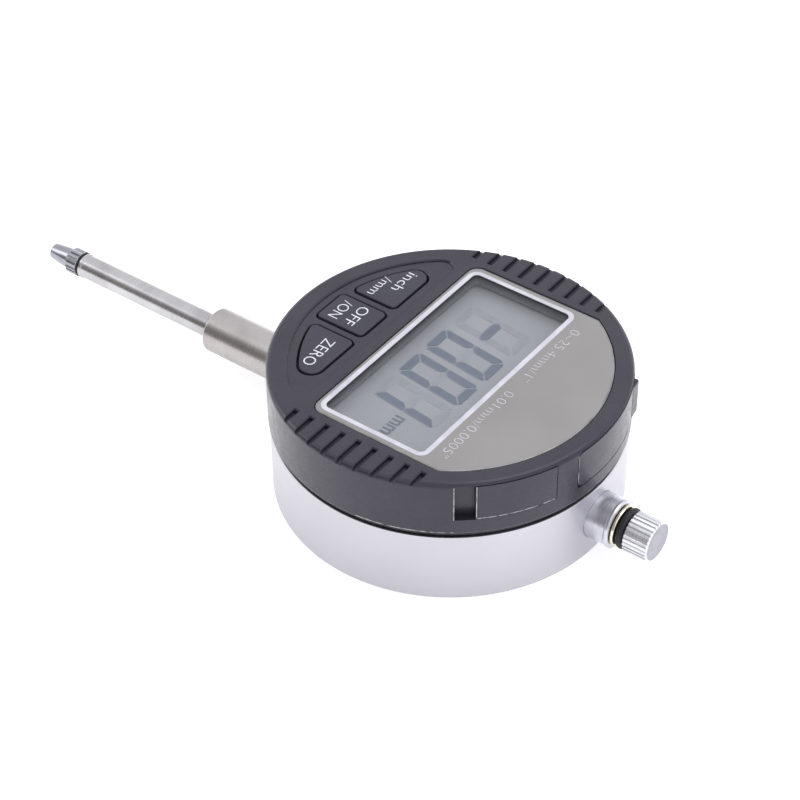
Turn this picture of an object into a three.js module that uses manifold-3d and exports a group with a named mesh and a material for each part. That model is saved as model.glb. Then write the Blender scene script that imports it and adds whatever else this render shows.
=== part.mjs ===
// Digital dial indicator: a round aluminium case with a Ø8 mm stem and a sprung spindle, and
// a plastic display unit that turns on top of the case.
//
// Millimetres. +Z is up, out of the display; +Y runs along the spindle towards its lifting
// knob, so the stem points along -Y and the display reads from left (-X) to right (+X).
// The origin is the centre of the flat back, on which the indicator lies.

import * as THREE from 'three';
import { mergeVertices } from 'three/addons/utils/BufferGeometryUtils.js';
import Module from 'manifold-3d';

const wasm = await Module();
wasm.setup();

// ---------------------------------------------------------------- driving dimensions

// Clearances
const FIT = 0.1; // around and under a piece that sits fixed in its seat
const RUN = 0.1; // around the spindle in its bushes
const PLAY = 0.2; // between pieces that slide or turn past each other
const AIR = 0.3; // between neighbours that never touch

// Round body
const HOUSING_RADIUS = 29.5;
const HOUSING_WALL = 2;
const HOUSING_EDGE = 0.9; // rounding of the rim
const CASE_STEP = 0.25; // case edge inside the housing edge
const CASE_WALL = 2.2;
const CASE_CHAMFER = 0.4;
const WEB_THICKNESS = 1.4; // front wall of the case
const SEAM = 1.07; // open seam between the case and the display unit

// Spindle line
const SPINDLE_RADIUS = 2.15;
const SPINDLE_REACH = 30.3; // bare spindle below the stem when fully out
const TRAVEL = 25.4;
const STEM_WALL = 0.9;
const STEM_REACH = 20.75; // stem outside the case
const STEM_CHAMFER = 0.5;
const BUSH_WALL = 0.75;
const BUSH_LENGTH = 6.5;
const BUSH_PROUD = 0.35;
const FLANGE_WIDTH = 0.7; // flange of the stem and of the boss, inside the case
const FLANGE_THICKNESS = 1.3;
const FLANGE_TO_BACK = 0.8;
const BOSS_WALL = 0.95;
const BOSS_REACH = 4.05;
const BOSS_COLLAR_STEP = 0.15;
const BOSS_COLLAR_WIDTH = 0.7;

// Contact point, from the spindle outwards
const THREAD_RADIUS = 1.2;
const THREAD_LENGTH = 4.5;
const CONTACT_WASHER_RADIUS = 2.3;
const CONTACT_WASHER_WIDTH = 0.3;
const CONTACT_COLLAR_RADIUS = 2.35;
const CONTACT_COLLAR_WIDTH = 2.6;
const CONTACT_FLUTES = 16;
const CONTACT_FLUTE_DEPTH = 0.18;
const CONTACT_TAPER_RADIUS = 1.95;
const CONTACT_TAPER_LENGTH = 4.4;
const CONTACT_END_RADIUS = 1.5;
const CONTACT_END_CHAMFER = 0.4;

// Lifting knob, from the boss outwards
const KNOB_RING_RADIUS = 3.65;
const KNOB_RING_WIDTH = 0.55;
const KNOB_O_RING_RADIUS = 3.5;
const KNOB_O_RING_WIDTH = 1.35;
const KNOB_RADIUS = 3.55;
const KNOB_LENGTH = 4.6;
const KNOB_FLUTES = 30;
const KNOB_FLUTE_DEPTH = 0.3;
const KNOB_THREAD_LENGTH = 3.2;

// Scale carrier, guide and reader
const CARRIER_WIDTH = 10;
const CARRIER_LENGTH = 10;
const CARRIER_WALL = 0.85; // over and under the spindle
const ARM_WIDTH = 6.5;
const ARM_THICKNESS = 1.3;
const SCALE_THICKNESS = 0.6;
const SCALE_MARGIN = 0.2; // scale edge inside the arm edge
const GUIDE_PIN_RADIUS = 0.8;
const GUIDE_PIN_SEAT = 2; // depth of the pin in the carrier
const RAIL_THICKNESS = 1.8;
const RAIL_DEPTH = 8;
const RAIL_END = 2.4; // solid end of the rail beyond its slot
const RAIL_FOOT = 3.8;
const RAIL_FOOT_THICKNESS = 1.3;
const READER_LENGTH = 22;
const READER_WIDTH = 13.6;
const READER_THICKNESS = 0.8;
const READER_GAP = 0.5; // air between the scale and its reader
const READER_SCREW_INSET = 2.5;
const READER_CHIP = 4;
const CHIP_HEIGHT = 0.9;
const SPRING_WIRE_RADIUS = 0.25;
const SPRING_TURNS = 9;

// Hub that carries the display unit
const HUB_RADIUS = 6.2;
const HUB_BORE_RADIUS = 4;
const HUB_FOOT = 0.2; // hub below the groove of its clip
const CLIP_WIDTH = 1.1; // clip beyond the hub
const CLIP_BITE = 1; // depth of the groove in the hub
const CLIP_THICKNESS = 0.7;
const CLIP_MOUTH = 7;
const CABLE_ROOM = 0.8; // between the carrier and the hub
const CABLE_WIDTH = 4;
const CABLE_THICKNESS = 0.2;
const CABLE_INSET = 3; // from the reader's edge to the ribbon's first bend
const CABLE_BEND = 2;
const TURN_LIMIT = 135; // degrees each way
const STOP_PIN_RADIUS = 1;
const STOP_CIRCLE = 20;
const STOP_LUG_WIDTH = 2;

// Screws
const SCREW_RADIUS = 0.8;
const SCREW_HEAD_RADIUS = 1.6;
const SCREW_HEAD_HEIGHT = 0.8;
const SLOT_WIDTH = 0.5;
const SLOT_DEPTH = 0.35;

// Back
const BACK_THICKNESS = 1.3;
const BACK_SCREW_COUNT = 4;
const BACK_SCREW_INSET = 3.45; // screw circle inside the case wall
const BACK_SCREW_LENGTH = 4;
const PILLAR_RADIUS = 2.2;

// Stack inside the display unit, from the base up
const BASE_THICKNESS = 0.8;
const BASE_TO_BOARD = 0.4;
const BOARD_THICKNESS = 0.8;
const BOARD_TO_DRAWER = 0.6;
const DRAWER_LIP = 0.3;
const CELL_RADIUS = 10;
const CELL_THICKNESS = 3.2;
const CELL_LEDGE = 1; // ring that the cell rests on
const CELL_TO_LCD = 0.35;
const LCD_THICKNESS = 1.1;
const ROOF_THICKNESS = 1.05; // under the lens
const LENS_THICKNESS = 0.95;
const LENS_SUNK = 0.05;

// Display
const LENS_BORDER = 3.25; // lens arc inside the housing edge
const LENS_HALF_WIDTH = 22.35;
const LENS_BOTTOM = -10.9;
const LENS_CORNER = 2;
const WINDOW_HALF_WIDTH = 20.6;
const WINDOW_HALF_HEIGHT = 9.5;
const WINDOW_CORNER = 1;
const LCD_BORDER = 1.2;
const LCD_FRAME_WALL = 0.9;
const LCD_LEG = 1.6;
const ZEBRA_WIDTH = 1.5;

// Finger grips in the rim
const GRIPS_PER_SIDE = 9;
const GRIP_PITCH = 3.07;
const GRIP_WIDTH = 0.75;
const GRIP_DEPTH = 0.7;
const GRIP_LENGTH = 5.5; // from the housing edge inwards

// Buttons
const PANEL_TOP = -13.2; // straight side of the button panel
const PANEL_BORDER = 3.5;
const PANEL_CORNER = 2;
const PANEL_DEPTH = 0.35;
const BUTTON_TOP = -15.1;
const BUTTON_BORDER = 5.3; // button arc inside the housing edge
const BUTTON_CORNER = 0.9;
const SIDE_BUTTON_START = 5.3;
const SIDE_BUTTON_NOSE = 2.1;
const POWER_HALF_WIDTH = 3.55;
const POWER_BOTTOM = -24.4;
const BUTTON_PROUD = 0.2;
const BUTTON_TRAVEL = 0.6;
const BUTTON_FLANGE = 0.7;
const BUTTON_FLANGE_THICKNESS = 0.6;
const PLUNGER_RADIUS = 1.5;
const SIDE_PLUNGER_X = 10.6;
const SIDE_PLUNGER_DROP = 3.8; // plunger below the straight side of its button
const MAT_THICKNESS = 0.4;
const DOME_RADIUS = 2.2;
const DOME_HEIGHT = 0.3;

// Battery drawer and port cover, angles in degrees from +X
const DRAWER_ANGLE = 99.6;
const DRAWER_WALL = 0.7;
const DRAWER_COVER_THICKNESS = 1.6;
const DRAWER_COVER_HEIGHT = 6.8;
const GRIP_RIB_WIDTH = 2.6;
const GRIP_RIB_PROUD = 0.6;
const GRIP_RIB_INSET = 2.2;
const CONTACT_STRIP = 0.4;
const MINUS_CONTACT = [10, 3]; // length and width
const PLUS_CONTACT_WIDTH = 5;
const PORT_ANGLE = 56.4;
const PORT_HALF_ANGLE = 13;
const PORT_COVER_THICKNESS = 1.3;
const PORT_COVER_HEIGHT = 6.6;
const PORT_PLUG_WIDTH = 9.6;
const PORT_PLUG_INSET = 0.6; // plug above the lower edge of its cover
const PORT_PLUG_LENGTH = 3;
const PORT_SOCKET_LENGTH = 4;
const PORT_SOCKET_WALL = 1;
const PORT_MOUTH_DEPTH = 2.5;
const NAIL_POCKET_ANGLE = 6.5;

// Controller chip on the main board
const CONTROLLER_SIZE = 8;
const CONTROLLER_PLACE = [12, -2];

// Posts that the base screws bite into: one beside each side button, one behind the display
const POST_RADIUS = 1.7;
const POST_INSET = 5; // from the housing edge
const POST_TO_BUTTON = 1.5;
const BACK_POST_INSET = 4.5;
const BACK_POST_ANGLE = 146;

// ---------------------------------------------------------------- derived dimensions

const CASE_RADIUS = HOUSING_RADIUS - CASE_STEP;
const CASE_INNER = CASE_RADIUS - CASE_WALL;
const HOUSING_INNER = HOUSING_RADIUS - HOUSING_WALL;

// Round pieces on the spindle line
const BUSH_RADIUS = SPINDLE_RADIUS + RUN + BUSH_WALL;
const STEM_BORE = BUSH_RADIUS + FIT;
const STEM_RADIUS = STEM_BORE + STEM_WALL;
const BOSS_RADIUS = STEM_BORE + BOSS_WALL;
const FLANGE_RADIUS = STEM_RADIUS + FLANGE_WIDTH;

// Heights in the case
const SPINDLE_HEIGHT = BACK_THICKNESS + FLANGE_TO_BACK + FLANGE_RADIUS;
const CARRIER_HALF_DEPTH = SPINDLE_RADIUS + FIT + CARRIER_WALL;
const CARRIER_BOTTOM = SPINDLE_HEIGHT - CARRIER_HALF_DEPTH;
const CARRIER_TOP = SPINDLE_HEIGHT + CARRIER_HALF_DEPTH;
const HUB_BOTTOM = CARRIER_TOP + CABLE_ROOM;
const CLIP_BOTTOM = HUB_BOTTOM + HUB_FOOT;
const WEB_BOTTOM = CLIP_BOTTOM + CLIP_THICKNESS + PLAY;
const CASE_HEIGHT = WEB_BOTTOM + WEB_THICKNESS;

// Heights in the display unit
const HOUSING_BOTTOM = CASE_HEIGHT + SEAM;
const BASE_BOTTOM = HOUSING_BOTTOM + PLAY;
const BASE_TOP = BASE_BOTTOM + BASE_THICKNESS;
const BOARD_BOTTOM = BASE_TOP + BASE_TO_BOARD;
const BOARD_TOP = BOARD_BOTTOM + BOARD_THICKNESS;
const DRAWER_BOTTOM = BOARD_TOP + BOARD_TO_DRAWER;
const CELL_BOTTOM = DRAWER_BOTTOM + DRAWER_LIP + FIT;
const CELL_TOP = CELL_BOTTOM + CELL_THICKNESS;
const LCD_BOTTOM = CELL_TOP + CELL_TO_LCD;
const LCD_TOP = LCD_BOTTOM + LCD_THICKNESS;
const ROOF_BOTTOM = LCD_TOP + PLAY;
const LENS_SEAT = ROOF_BOTTOM + ROOF_THICKNESS;
const LENS_BACK = LENS_SEAT + FIT;
const LENS_FACE = LENS_BACK + LENS_THICKNESS;
const HOUSING_TOP = LENS_FACE + LENS_SUNK;
const PANEL_FACE = HOUSING_TOP - PANEL_DEPTH;

// Places along the spindle line
const FLANGE_OUTER = Math.sqrt(CASE_INNER ** 2 - FLANGE_RADIUS ** 2) - PLAY;
const FLANGE_INNER = FLANGE_OUTER - FLANGE_THICKNESS;
const STEM_END = CASE_RADIUS + STEM_REACH;
const BOSS_END = CASE_RADIUS + BOSS_REACH;
const SPINDLE_END = STEM_END + SPINDLE_REACH;
const KNOB_RING_START = BOSS_END + PLAY;
const KNOB_O_RING_START = KNOB_RING_START + KNOB_RING_WIDTH + FIT;
const KNOB_START = KNOB_O_RING_START + KNOB_O_RING_WIDTH + FIT;
const KNOB_END = KNOB_START + KNOB_LENGTH;

// Carrier, arm and scale: the carrier's middle moves from -TRAVEL / 2 to TRAVEL / 2
const CARRIER_Y = -TRAVEL / 2;
const ARM_START = CARRIER_WIDTH / 2;
const ARM_END = ARM_START + ARM_WIDTH;
const ARM_REACH = Math.sqrt(CASE_INNER ** 2 - ARM_END ** 2) - PLAY;
const ARM_LENGTH = 2 * ARM_REACH - TRAVEL;
const ARM_TOP = SPINDLE_HEIGHT + FIT;
const ARM_BOTTOM = ARM_TOP - ARM_THICKNESS;
const SCALE_BOTTOM = ARM_TOP + FIT;
const READER_BOTTOM = SCALE_BOTTOM + SCALE_THICKNESS + READER_GAP;
const READER_TOP = READER_BOTTOM + READER_THICKNESS;
const READER_START = ARM_START + AIR;
const READER_END = READER_START + READER_WIDTH;
const RAIL_FACE = -(HUB_RADIUS + CLIP_WIDTH + AIR);
const RAIL_BACK = RAIL_FACE - RAIL_THICKNESS;
const RAIL_TOP = WEB_BOTTOM - FIT;
const RAIL_REACH = TRAVEL / 2 + GUIDE_PIN_RADIUS + PLAY + RAIL_END;

const BACK_SCREW_CIRCLE = CASE_INNER - BACK_SCREW_INSET;

// Places in the display unit
const LCD_HALF_WIDTH = WINDOW_HALF_WIDTH + LCD_BORDER;
const LCD_HALF_HEIGHT = WINDOW_HALF_HEIGHT + LCD_BORDER;
const DRAWER_HALF_WIDTH = CELL_RADIUS + FIT + DRAWER_WALL;
const COVER_HALF_WIDTH = DRAWER_HALF_WIDTH + PLAY;
const COVER_INNER = HOUSING_RADIUS - DRAWER_COVER_THICKNESS;
const CELL_CENTRE = COVER_INNER - FIT - CELL_RADIUS - DRAWER_WALL;
const DRAWER_END = CELL_CENTRE - DRAWER_HALF_WIDTH;
const COVER_BOTTOM = DRAWER_BOTTOM;
const COVER_TOP = COVER_BOTTOM + DRAWER_COVER_HEIGHT;
const PORT_RECESS = HOUSING_RADIUS - PORT_COVER_THICKNESS;
const PORT_BOTTOM = DRAWER_BOTTOM + PLAY;
const PORT_TOP = PORT_BOTTOM + PORT_COVER_HEIGHT;
const PORT_PLUG_BOTTOM = PORT_BOTTOM + PORT_PLUG_INSET;
const PORT_PLUG_TOP = ROOF_BOTTOM - AIR;
const PORT_PLUG_END = PORT_RECESS - PORT_PLUG_LENGTH;
const PORT_SOCKET_FACE = PORT_PLUG_END - AIR;
const BUTTON_FACE = PANEL_FACE + BUTTON_PROUD;
const BUTTON_FLANGE_TOP = ROOF_BOTTOM - PLAY;
const MAT_BOTTOM = BOARD_TOP + FIT;
const MAT_TOP = MAT_BOTTOM + MAT_THICKNESS;
const DOME_TOP = MAT_TOP + DOME_HEIGHT;
const PLUNGER_BOTTOM = DOME_TOP + BUTTON_TRAVEL + FIT;
const BUTTON_ARC = HOUSING_RADIUS - BUTTON_BORDER;
const SIDE_PLUNGER_Y = BUTTON_TOP - SIDE_PLUNGER_DROP;
const POWER_Y = (BUTTON_TOP + POWER_BOTTOM) / 2;

// Facets of round pieces
const BODY_FACETS = 60;
const MIDDLE_FACETS = 36;
const SHAFT_FACETS = 24;
const SMALL_FACETS = 12;
const THREAD_FACETS = 8;
const ARC_STEPS = 12;
const CORNER_STEPS = 4;
const WIRE_STEPS = 4;
const SPRING_STEPS = 8; // along each turn
const CABLE_STEPS = 24;
const SECTOR_STEP = 5; // degrees

// ---------------------------------------------------------------- materials

function finish(color, roughness, metalness) {
  return new THREE.MeshStandardMaterial({ color, roughness, metalness });
}

const ALUMINIUM = finish(0xdedce6, 0.35, 1);
const STAINLESS = finish(0xc8c0bc, 0.3, 1);
const HARD_STEEL = finish(0xa9a9b3, 0.3, 1);
const BRASS = finish(0xe8dccd, 0.2, 1);
const HOUSING_PLASTIC = finish(0x4d4b53, 0.5, 0);
const BLACK_PLASTIC = finish(0x232328, 0.6, 0);
const WHITE_PLASTIC = finish(0xe4e2dc, 0.5, 0);
const RUBBER = finish(0x1c1c20, 0.85, 0);
const LENS_PRINT = finish(0xa8a3a1, 0.15, 0);
const LCD_GREEN = finish(0x969da0, 0.2, 0);
const BOARD_GREEN = finish(0x1f5a3a, 0.5, 0);
const CHIP_BLACK = finish(0x18181a, 0.5, 0);
const POLYIMIDE = finish(0xb06a22, 0.4, 0);
const CELL_STEEL = finish(0xcfd0d2, 0.25, 1);

// ---------------------------------------------------------------- solids

/** A closed geometry as a solid, with its faces turned outwards. */
function solid(geometry) {
  geometry.deleteAttribute('normal');
  geometry.deleteAttribute('uv');
  const merged = mergeVertices(geometry, 1e-4);
  const corners = merged.index.array;
  const kept = [];
  for (let i = 0; i < corners.length; i += 3) {
    const [a, b, c] = [corners[i], corners[i + 1], corners[i + 2]];
    if (a !== b && b !== c && c !== a) kept.push(a, b, c);
  }
  if (signedVolume(merged.attributes.position, kept) < 0) kept.reverse();
  return new wasm.Manifold(new wasm.Mesh({
    numProp: 3,
    vertProperties: new Float32Array(merged.attributes.position.array),
    triVerts: new Uint32Array(kept),
  }));
}

function signedVolume(position, corners) {
  const [a, b, c] = [new THREE.Vector3(), new THREE.Vector3(), new THREE.Vector3()];
  let total = 0;
  for (let i = 0; i < corners.length; i += 3) {
    a.fromBufferAttribute(position, corners[i]);
    b.fromBufferAttribute(position, corners[i + 1]);
    c.fromBufferAttribute(position, corners[i + 2]);
    total += a.dot(b.cross(c));
  }
  return total;
}

function join(...solids) {
  return solids.reduce((whole, next) => whole.add(next));
}

function cut(body, ...tools) {
  return tools.reduce((whole, tool) => whole.subtract(tool), body);
}

function box(x0, x1, y0, y1, z0, z1) {
  const geometry = new THREE.BoxGeometry(x1 - x0, y1 - y0, z1 - z0);
  return solid(geometry.translate((x0 + x1) / 2, (y0 + y1) / 2, (z0 + z1) / 2));
}

/** An upright cylinder. */
function disc(radius, z0, z1, x = 0, y = 0, facets = SMALL_FACETS) {
  const geometry = new THREE.CylinderGeometry(radius, radius, z1 - z0, facets);
  return solid(geometry.rotateX(Math.PI / 2).translate(x, y, (z0 + z1) / 2));
}

/** A profile of [radius, height] points turned about the Z axis. */
function turned(profile, facets = BODY_FACETS) {
  return solid(latheGeometry(profile, facets).rotateX(Math.PI / 2));
}

/** A profile of [radius, distance] points turned about the spindle line. */
function turnedOnSpindle(profile, facets = SHAFT_FACETS) {
  return solid(latheGeometry(profile, facets)).translate([0, 0, SPINDLE_HEIGHT]);
}

function latheGeometry(profile, facets) {
  const points = profile.map(([radius, along]) => new THREE.Vector2(radius, along));
  return new THREE.LatheGeometry(points, facets);
}

/** A tube on the spindle line. */
function sleeve(inner, outer, y0, y1, facets = SHAFT_FACETS) {
  return turnedOnSpindle([[inner, y0], [outer, y0], [outer, y1], [inner, y1], [inner, y0]], facets);
}

function rod(radius, y0, y1, facets = SHAFT_FACETS) {
  return turnedOnSpindle([[0, y0], [radius, y0], [radius, y1], [0, y1]], facets);
}

/** A tube about the Z axis. */
function ring(inner, outer, z0, z1, facets = BODY_FACETS) {
  return turned([[inner, z0], [outer, z0], [outer, z1], [inner, z1], [inner, z0]], facets);
}

/** A flat shape raised from z0 to z1. */
function raised(shape, z0, z1, curveSegments = 8) {
  const options = { depth: z1 - z0, bevelEnabled: false, curveSegments };
  return solid(new THREE.ExtrudeGeometry(shape, options).translate(0, 0, z0));
}

/** A piece of a tube about the Z axis between two angles in degrees. */
function sector(inner, outer, from, to, z0, z1) {
  const [start, end] = [THREE.MathUtils.degToRad(from), THREE.MathUtils.degToRad(to)];
  const shape = new THREE.Shape();
  shape.absarc(0, 0, outer, start, end, false);
  shape.absarc(0, 0, inner, end, start, true);
  return raised(shape, z0, z1, Math.ceil((to - from) / SECTOR_STEP));
}

/** A box built along +X and turned about the Z axis, for what points outwards at an angle. */
function outwardBox(angle, r0, r1, halfWidth, z0, z1) {
  return box(r0, r1, -halfWidth, halfWidth, z0, z1).rotate([0, 0, angle]);
}

function polar(radius, angle) {
  const radians = THREE.MathUtils.degToRad(angle);
  return [radius * Math.cos(radians), radius * Math.sin(radians)];
}

function roundedRectangle(x0, x1, y0, y1, radius) {
  const shape = new THREE.Shape();
  shape.absarc(x1 - radius, y0 + radius, radius, -Math.PI / 2, 0, false);
  shape.absarc(x1 - radius, y1 - radius, radius, 0, Math.PI / 2, false);
  shape.absarc(x0 + radius, y1 - radius, radius, Math.PI / 2, Math.PI, false);
  shape.absarc(x0 + radius, y0 + radius, radius, Math.PI, 1.5 * Math.PI, false);
  return shape;
}

/** A slotted screw driven upwards: its head starts at headZ, its thread follows above. */
function screw([x, y], headZ, length) {
  const underHead = headZ + SCREW_HEAD_HEIGHT;
  const reach = SCREW_HEAD_RADIUS + AIR;
  const body = join(
    disc(SCREW_HEAD_RADIUS, headZ, underHead, x, y),
    disc(SCREW_RADIUS, underHead - FIT, underHead + length, x, y, THREAD_FACETS),
  );
  const slot = box(
    x - reach, x + reach, y - SLOT_WIDTH / 2, y + SLOT_WIDTH / 2,
    headZ - FIT, headZ + SLOT_DEPTH,
  );
  return cut(body, slot);
}

/** Room for a screw's thread. */
function screwHole([x, y], clearance, z0, z1) {
  return disc(SCREW_RADIUS + clearance, z0, z1, x, y, THREAD_FACETS);
}

const indicator = new THREE.Group();

/** Adds one piece to the indicator as a named mesh. */
function piece(name, body, material) {
  const { vertProperties, triVerts } = body.getMesh();
  const geometry = new THREE.BufferGeometry();
  geometry.setAttribute('position', new THREE.BufferAttribute(vertProperties, 3));
  geometry.setIndex(new THREE.BufferAttribute(triVerts, 1));
  geometry.computeVertexNormals();
  const mesh = new THREE.Mesh(geometry, material);
  mesh.name = name;
  indicator.add(mesh);
}

// ---------------------------------------------------------------- case

function backScrewPlaces() {
  const step = 360 / BACK_SCREW_COUNT;
  return Array.from({ length: BACK_SCREW_COUNT }, (_, i) => polar(BACK_SCREW_CIRCLE, step * (i + 0.5)));
}

function readerScrewPlaces() {
  const x = READER_END - READER_SCREW_INSET;
  return [-1, 1].map((side) => [x, side * (READER_LENGTH / 2 - READER_SCREW_INSET)]);
}

function railScrewPlaces() {
  const x = RAIL_BACK - RAIL_FOOT / 2;
  return [-1, 1].map((side) => [x, side * (RAIL_REACH - RAIL_FOOT / 2)]);
}

/** Cup with its web in front, open at the back. */
function rearCase() {
  const shell = turned([
    [HUB_RADIUS + AIR, WEB_BOTTOM],
    [CASE_INNER, WEB_BOTTOM],
    [CASE_INNER, 0],
    [CASE_RADIUS - CASE_CHAMFER, 0],
    [CASE_RADIUS, CASE_CHAMFER],
    [CASE_RADIUS, CASE_HEIGHT],
    [HUB_RADIUS + AIR, CASE_HEIGHT],
    [HUB_RADIUS + AIR, WEB_BOTTOM],
  ]);
  const pillars = backScrewPlaces().map(([x, y]) => cut(
    disc(PILLAR_RADIUS, BACK_THICKNESS + PLAY, WEB_BOTTOM + FIT, x, y),
    screwHole([x, y], FIT, 0, SCREW_HEAD_HEIGHT + BACK_SCREW_LENGTH + AIR),
  ));
  const readerPosts = readerScrewPlaces().map(([x, y]) => cut(
    disc(SCREW_HEAD_RADIUS, READER_TOP + FIT, WEB_BOTTOM + FIT, x, y),
    screwHole([x, y], FIT, 0, WEB_BOTTOM),
  ));
  const railHoles = railScrewPlaces().map((place) => screwHole(place, FIT, 0, CASE_HEIGHT - AIR));
  return cut(
    join(shell, ...pillars, ...readerPosts),
    rod(STEM_RADIUS + FIT, -CASE_RADIUS - 1, 0),
    rod(BOSS_RADIUS + FIT, 0, CASE_RADIUS + 1),
    disc(STOP_PIN_RADIUS + FIT, WEB_BOTTOM + PLAY, CASE_HEIGHT + 1, 0, -STOP_CIRCLE),
    ...railHoles,
  );
}

function backPlate() {
  const plate = disc(CASE_INNER - PLAY, 0, BACK_THICKNESS, 0, 0, BODY_FACETS);
  const holes = backScrewPlaces().flatMap(([x, y]) => [
    disc(SCREW_HEAD_RADIUS + PLAY, -1, SCREW_HEAD_HEIGHT + FIT, x, y),
    screwHole([x, y], PLAY, 0, BACK_THICKNESS + 1),
  ]);
  return cut(plate, ...holes);
}

/** Clamping stem, with its flange inside the case. */
function stem() {
  return turnedOnSpindle([
    [STEM_BORE, -STEM_END],
    [STEM_RADIUS - STEM_CHAMFER, -STEM_END],
    [STEM_RADIUS, -STEM_END + STEM_CHAMFER],
    [STEM_RADIUS, -FLANGE_OUTER],
    [FLANGE_RADIUS, -FLANGE_OUTER],
    [FLANGE_RADIUS, -FLANGE_INNER],
    [STEM_BORE, -FLANGE_INNER],
    [STEM_BORE, -STEM_END],
  ]);
}

/** Boss with an end collar, on the knob's side. */
function upperBoss() {
  return turnedOnSpindle([
    [STEM_BORE, FLANGE_INNER],
    [FLANGE_RADIUS, FLANGE_INNER],
    [FLANGE_RADIUS, FLANGE_OUTER],
    [BOSS_RADIUS, FLANGE_OUTER],
    [BOSS_RADIUS, BOSS_END - BOSS_COLLAR_WIDTH],
    [BOSS_RADIUS + BOSS_COLLAR_STEP, BOSS_END - BOSS_COLLAR_WIDTH],
    [BOSS_RADIUS + BOSS_COLLAR_STEP, BOSS_END],
    [STEM_BORE, BOSS_END],
    [STEM_BORE, FLANGE_INNER],
  ]);
}

/** Slotted plate that keeps the guide pin, and so the spindle, from turning. */
function guideRail() {
  const plate = box(RAIL_BACK, RAIL_FACE, -RAIL_REACH, RAIL_REACH, RAIL_TOP - RAIL_DEPTH, RAIL_TOP);
  const slotReach = RAIL_REACH - RAIL_END;
  const slotHalf = GUIDE_PIN_RADIUS + RUN;
  const slot = box(
    RAIL_BACK - 1, RAIL_FACE + 1, -slotReach, slotReach,
    SPINDLE_HEIGHT - slotHalf, SPINDLE_HEIGHT + slotHalf,
  );
  const feet = railScrewPlaces().map(([, y]) => box(
    RAIL_BACK - RAIL_FOOT, RAIL_FACE, y - RAIL_FOOT / 2, y + RAIL_FOOT / 2,
    RAIL_TOP - RAIL_FOOT_THICKNESS, RAIL_TOP,
  ));
  const holes = railScrewPlaces().map((place) => screwHole(place, FIT, 0, CASE_HEIGHT));
  return cut(join(plate, ...feet), slot, ...holes);
}

function readerBoard() {
  const half = READER_LENGTH / 2;
  const board = box(READER_START, READER_END, -half, half, READER_BOTTOM, READER_TOP);
  const holes = readerScrewPlaces().map((place) => screwHole(place, FIT, 0, CASE_HEIGHT));
  return cut(board, ...holes);
}

function readerChip() {
  const x = (READER_START + READER_END) / 2 + READER_CHIP / 2;
  const half = READER_CHIP / 2;
  return box(x - half, x + half, -half, half, READER_TOP + FIT, READER_TOP + CHIP_HEIGHT);
}

/** Ribbon from the reader up through the hub, towards the display's board. */
function sensorCable() {
  const level = (CARRIER_TOP + HUB_BOTTOM) / 2;
  const from = READER_START + CABLE_INSET;
  const start = READER_TOP + FIT + CABLE_THICKNESS / 2;
  const point = (x, z) => new THREE.Vector2(x, z);
  const [slope, to] = [from - CABLE_BEND / 2, from - CABLE_BEND];
  const path = new THREE.CurvePath();
  path.add(new THREE.LineCurve(point(from + CABLE_BEND, start), point(from, start)));
  path.add(new THREE.CubicBezierCurve(
    point(from, start), point(slope, start), point(slope, level), point(to, level),
  ));
  path.add(new THREE.LineCurve(point(to, level), point(CABLE_BEND, level)));
  path.add(new THREE.QuadraticBezierCurve(
    point(CABLE_BEND, level), point(0, level), point(0, level + CABLE_BEND),
  ));
  path.add(new THREE.LineCurve(point(0, level + CABLE_BEND), point(0, BASE_TOP - AIR)));
  const sides = [-1, 1].map((side) => Array.from({ length: CABLE_STEPS + 1 }, (_, i) => {
    const along = path.getTangent(i / CABLE_STEPS);
    const across = new THREE.Vector2(-along.y, along.x).multiplyScalar((side * CABLE_THICKNESS) / 2);
    return path.getPoint(i / CABLE_STEPS).add(across);
  }));
  const outline = new THREE.Shape([...sides[0], ...sides[1].reverse()]);
  const ribbon = new THREE.ExtrudeGeometry(outline, { depth: CABLE_WIDTH, bevelEnabled: false });
  return solid(ribbon.rotateX(Math.PI / 2).translate(0, CABLE_WIDTH / 2, 0));
}

/** Compression spring round the spindle, from the carrier to the boss. */
function returnSpring() {
  const radius = SPINDLE_RADIUS + 2 * AIR + SPRING_WIRE_RADIUS;
  const from = CARRIER_Y + CARRIER_LENGTH / 2 + AIR + SPRING_WIRE_RADIUS;
  const to = FLANGE_INNER - AIR - SPRING_WIRE_RADIUS;
  class Helix extends THREE.Curve {
    getPoint(t, target = new THREE.Vector3()) {
      const turn = t * SPRING_TURNS * 2 * Math.PI;
      return target.set(
        radius * Math.cos(turn),
        from + (to - from) * t,
        SPINDLE_HEIGHT + radius * Math.sin(turn),
      );
    }
  }
  const wire = new THREE.Shape();
  wire.absarc(0, 0, SPRING_WIRE_RADIUS, 0, 2 * Math.PI, false);
  return solid(new THREE.ExtrudeGeometry(wire, {
    curveSegments: WIRE_STEPS, steps: SPRING_TURNS * SPRING_STEPS, extrudePath: new Helix(),
  }));
}

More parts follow.
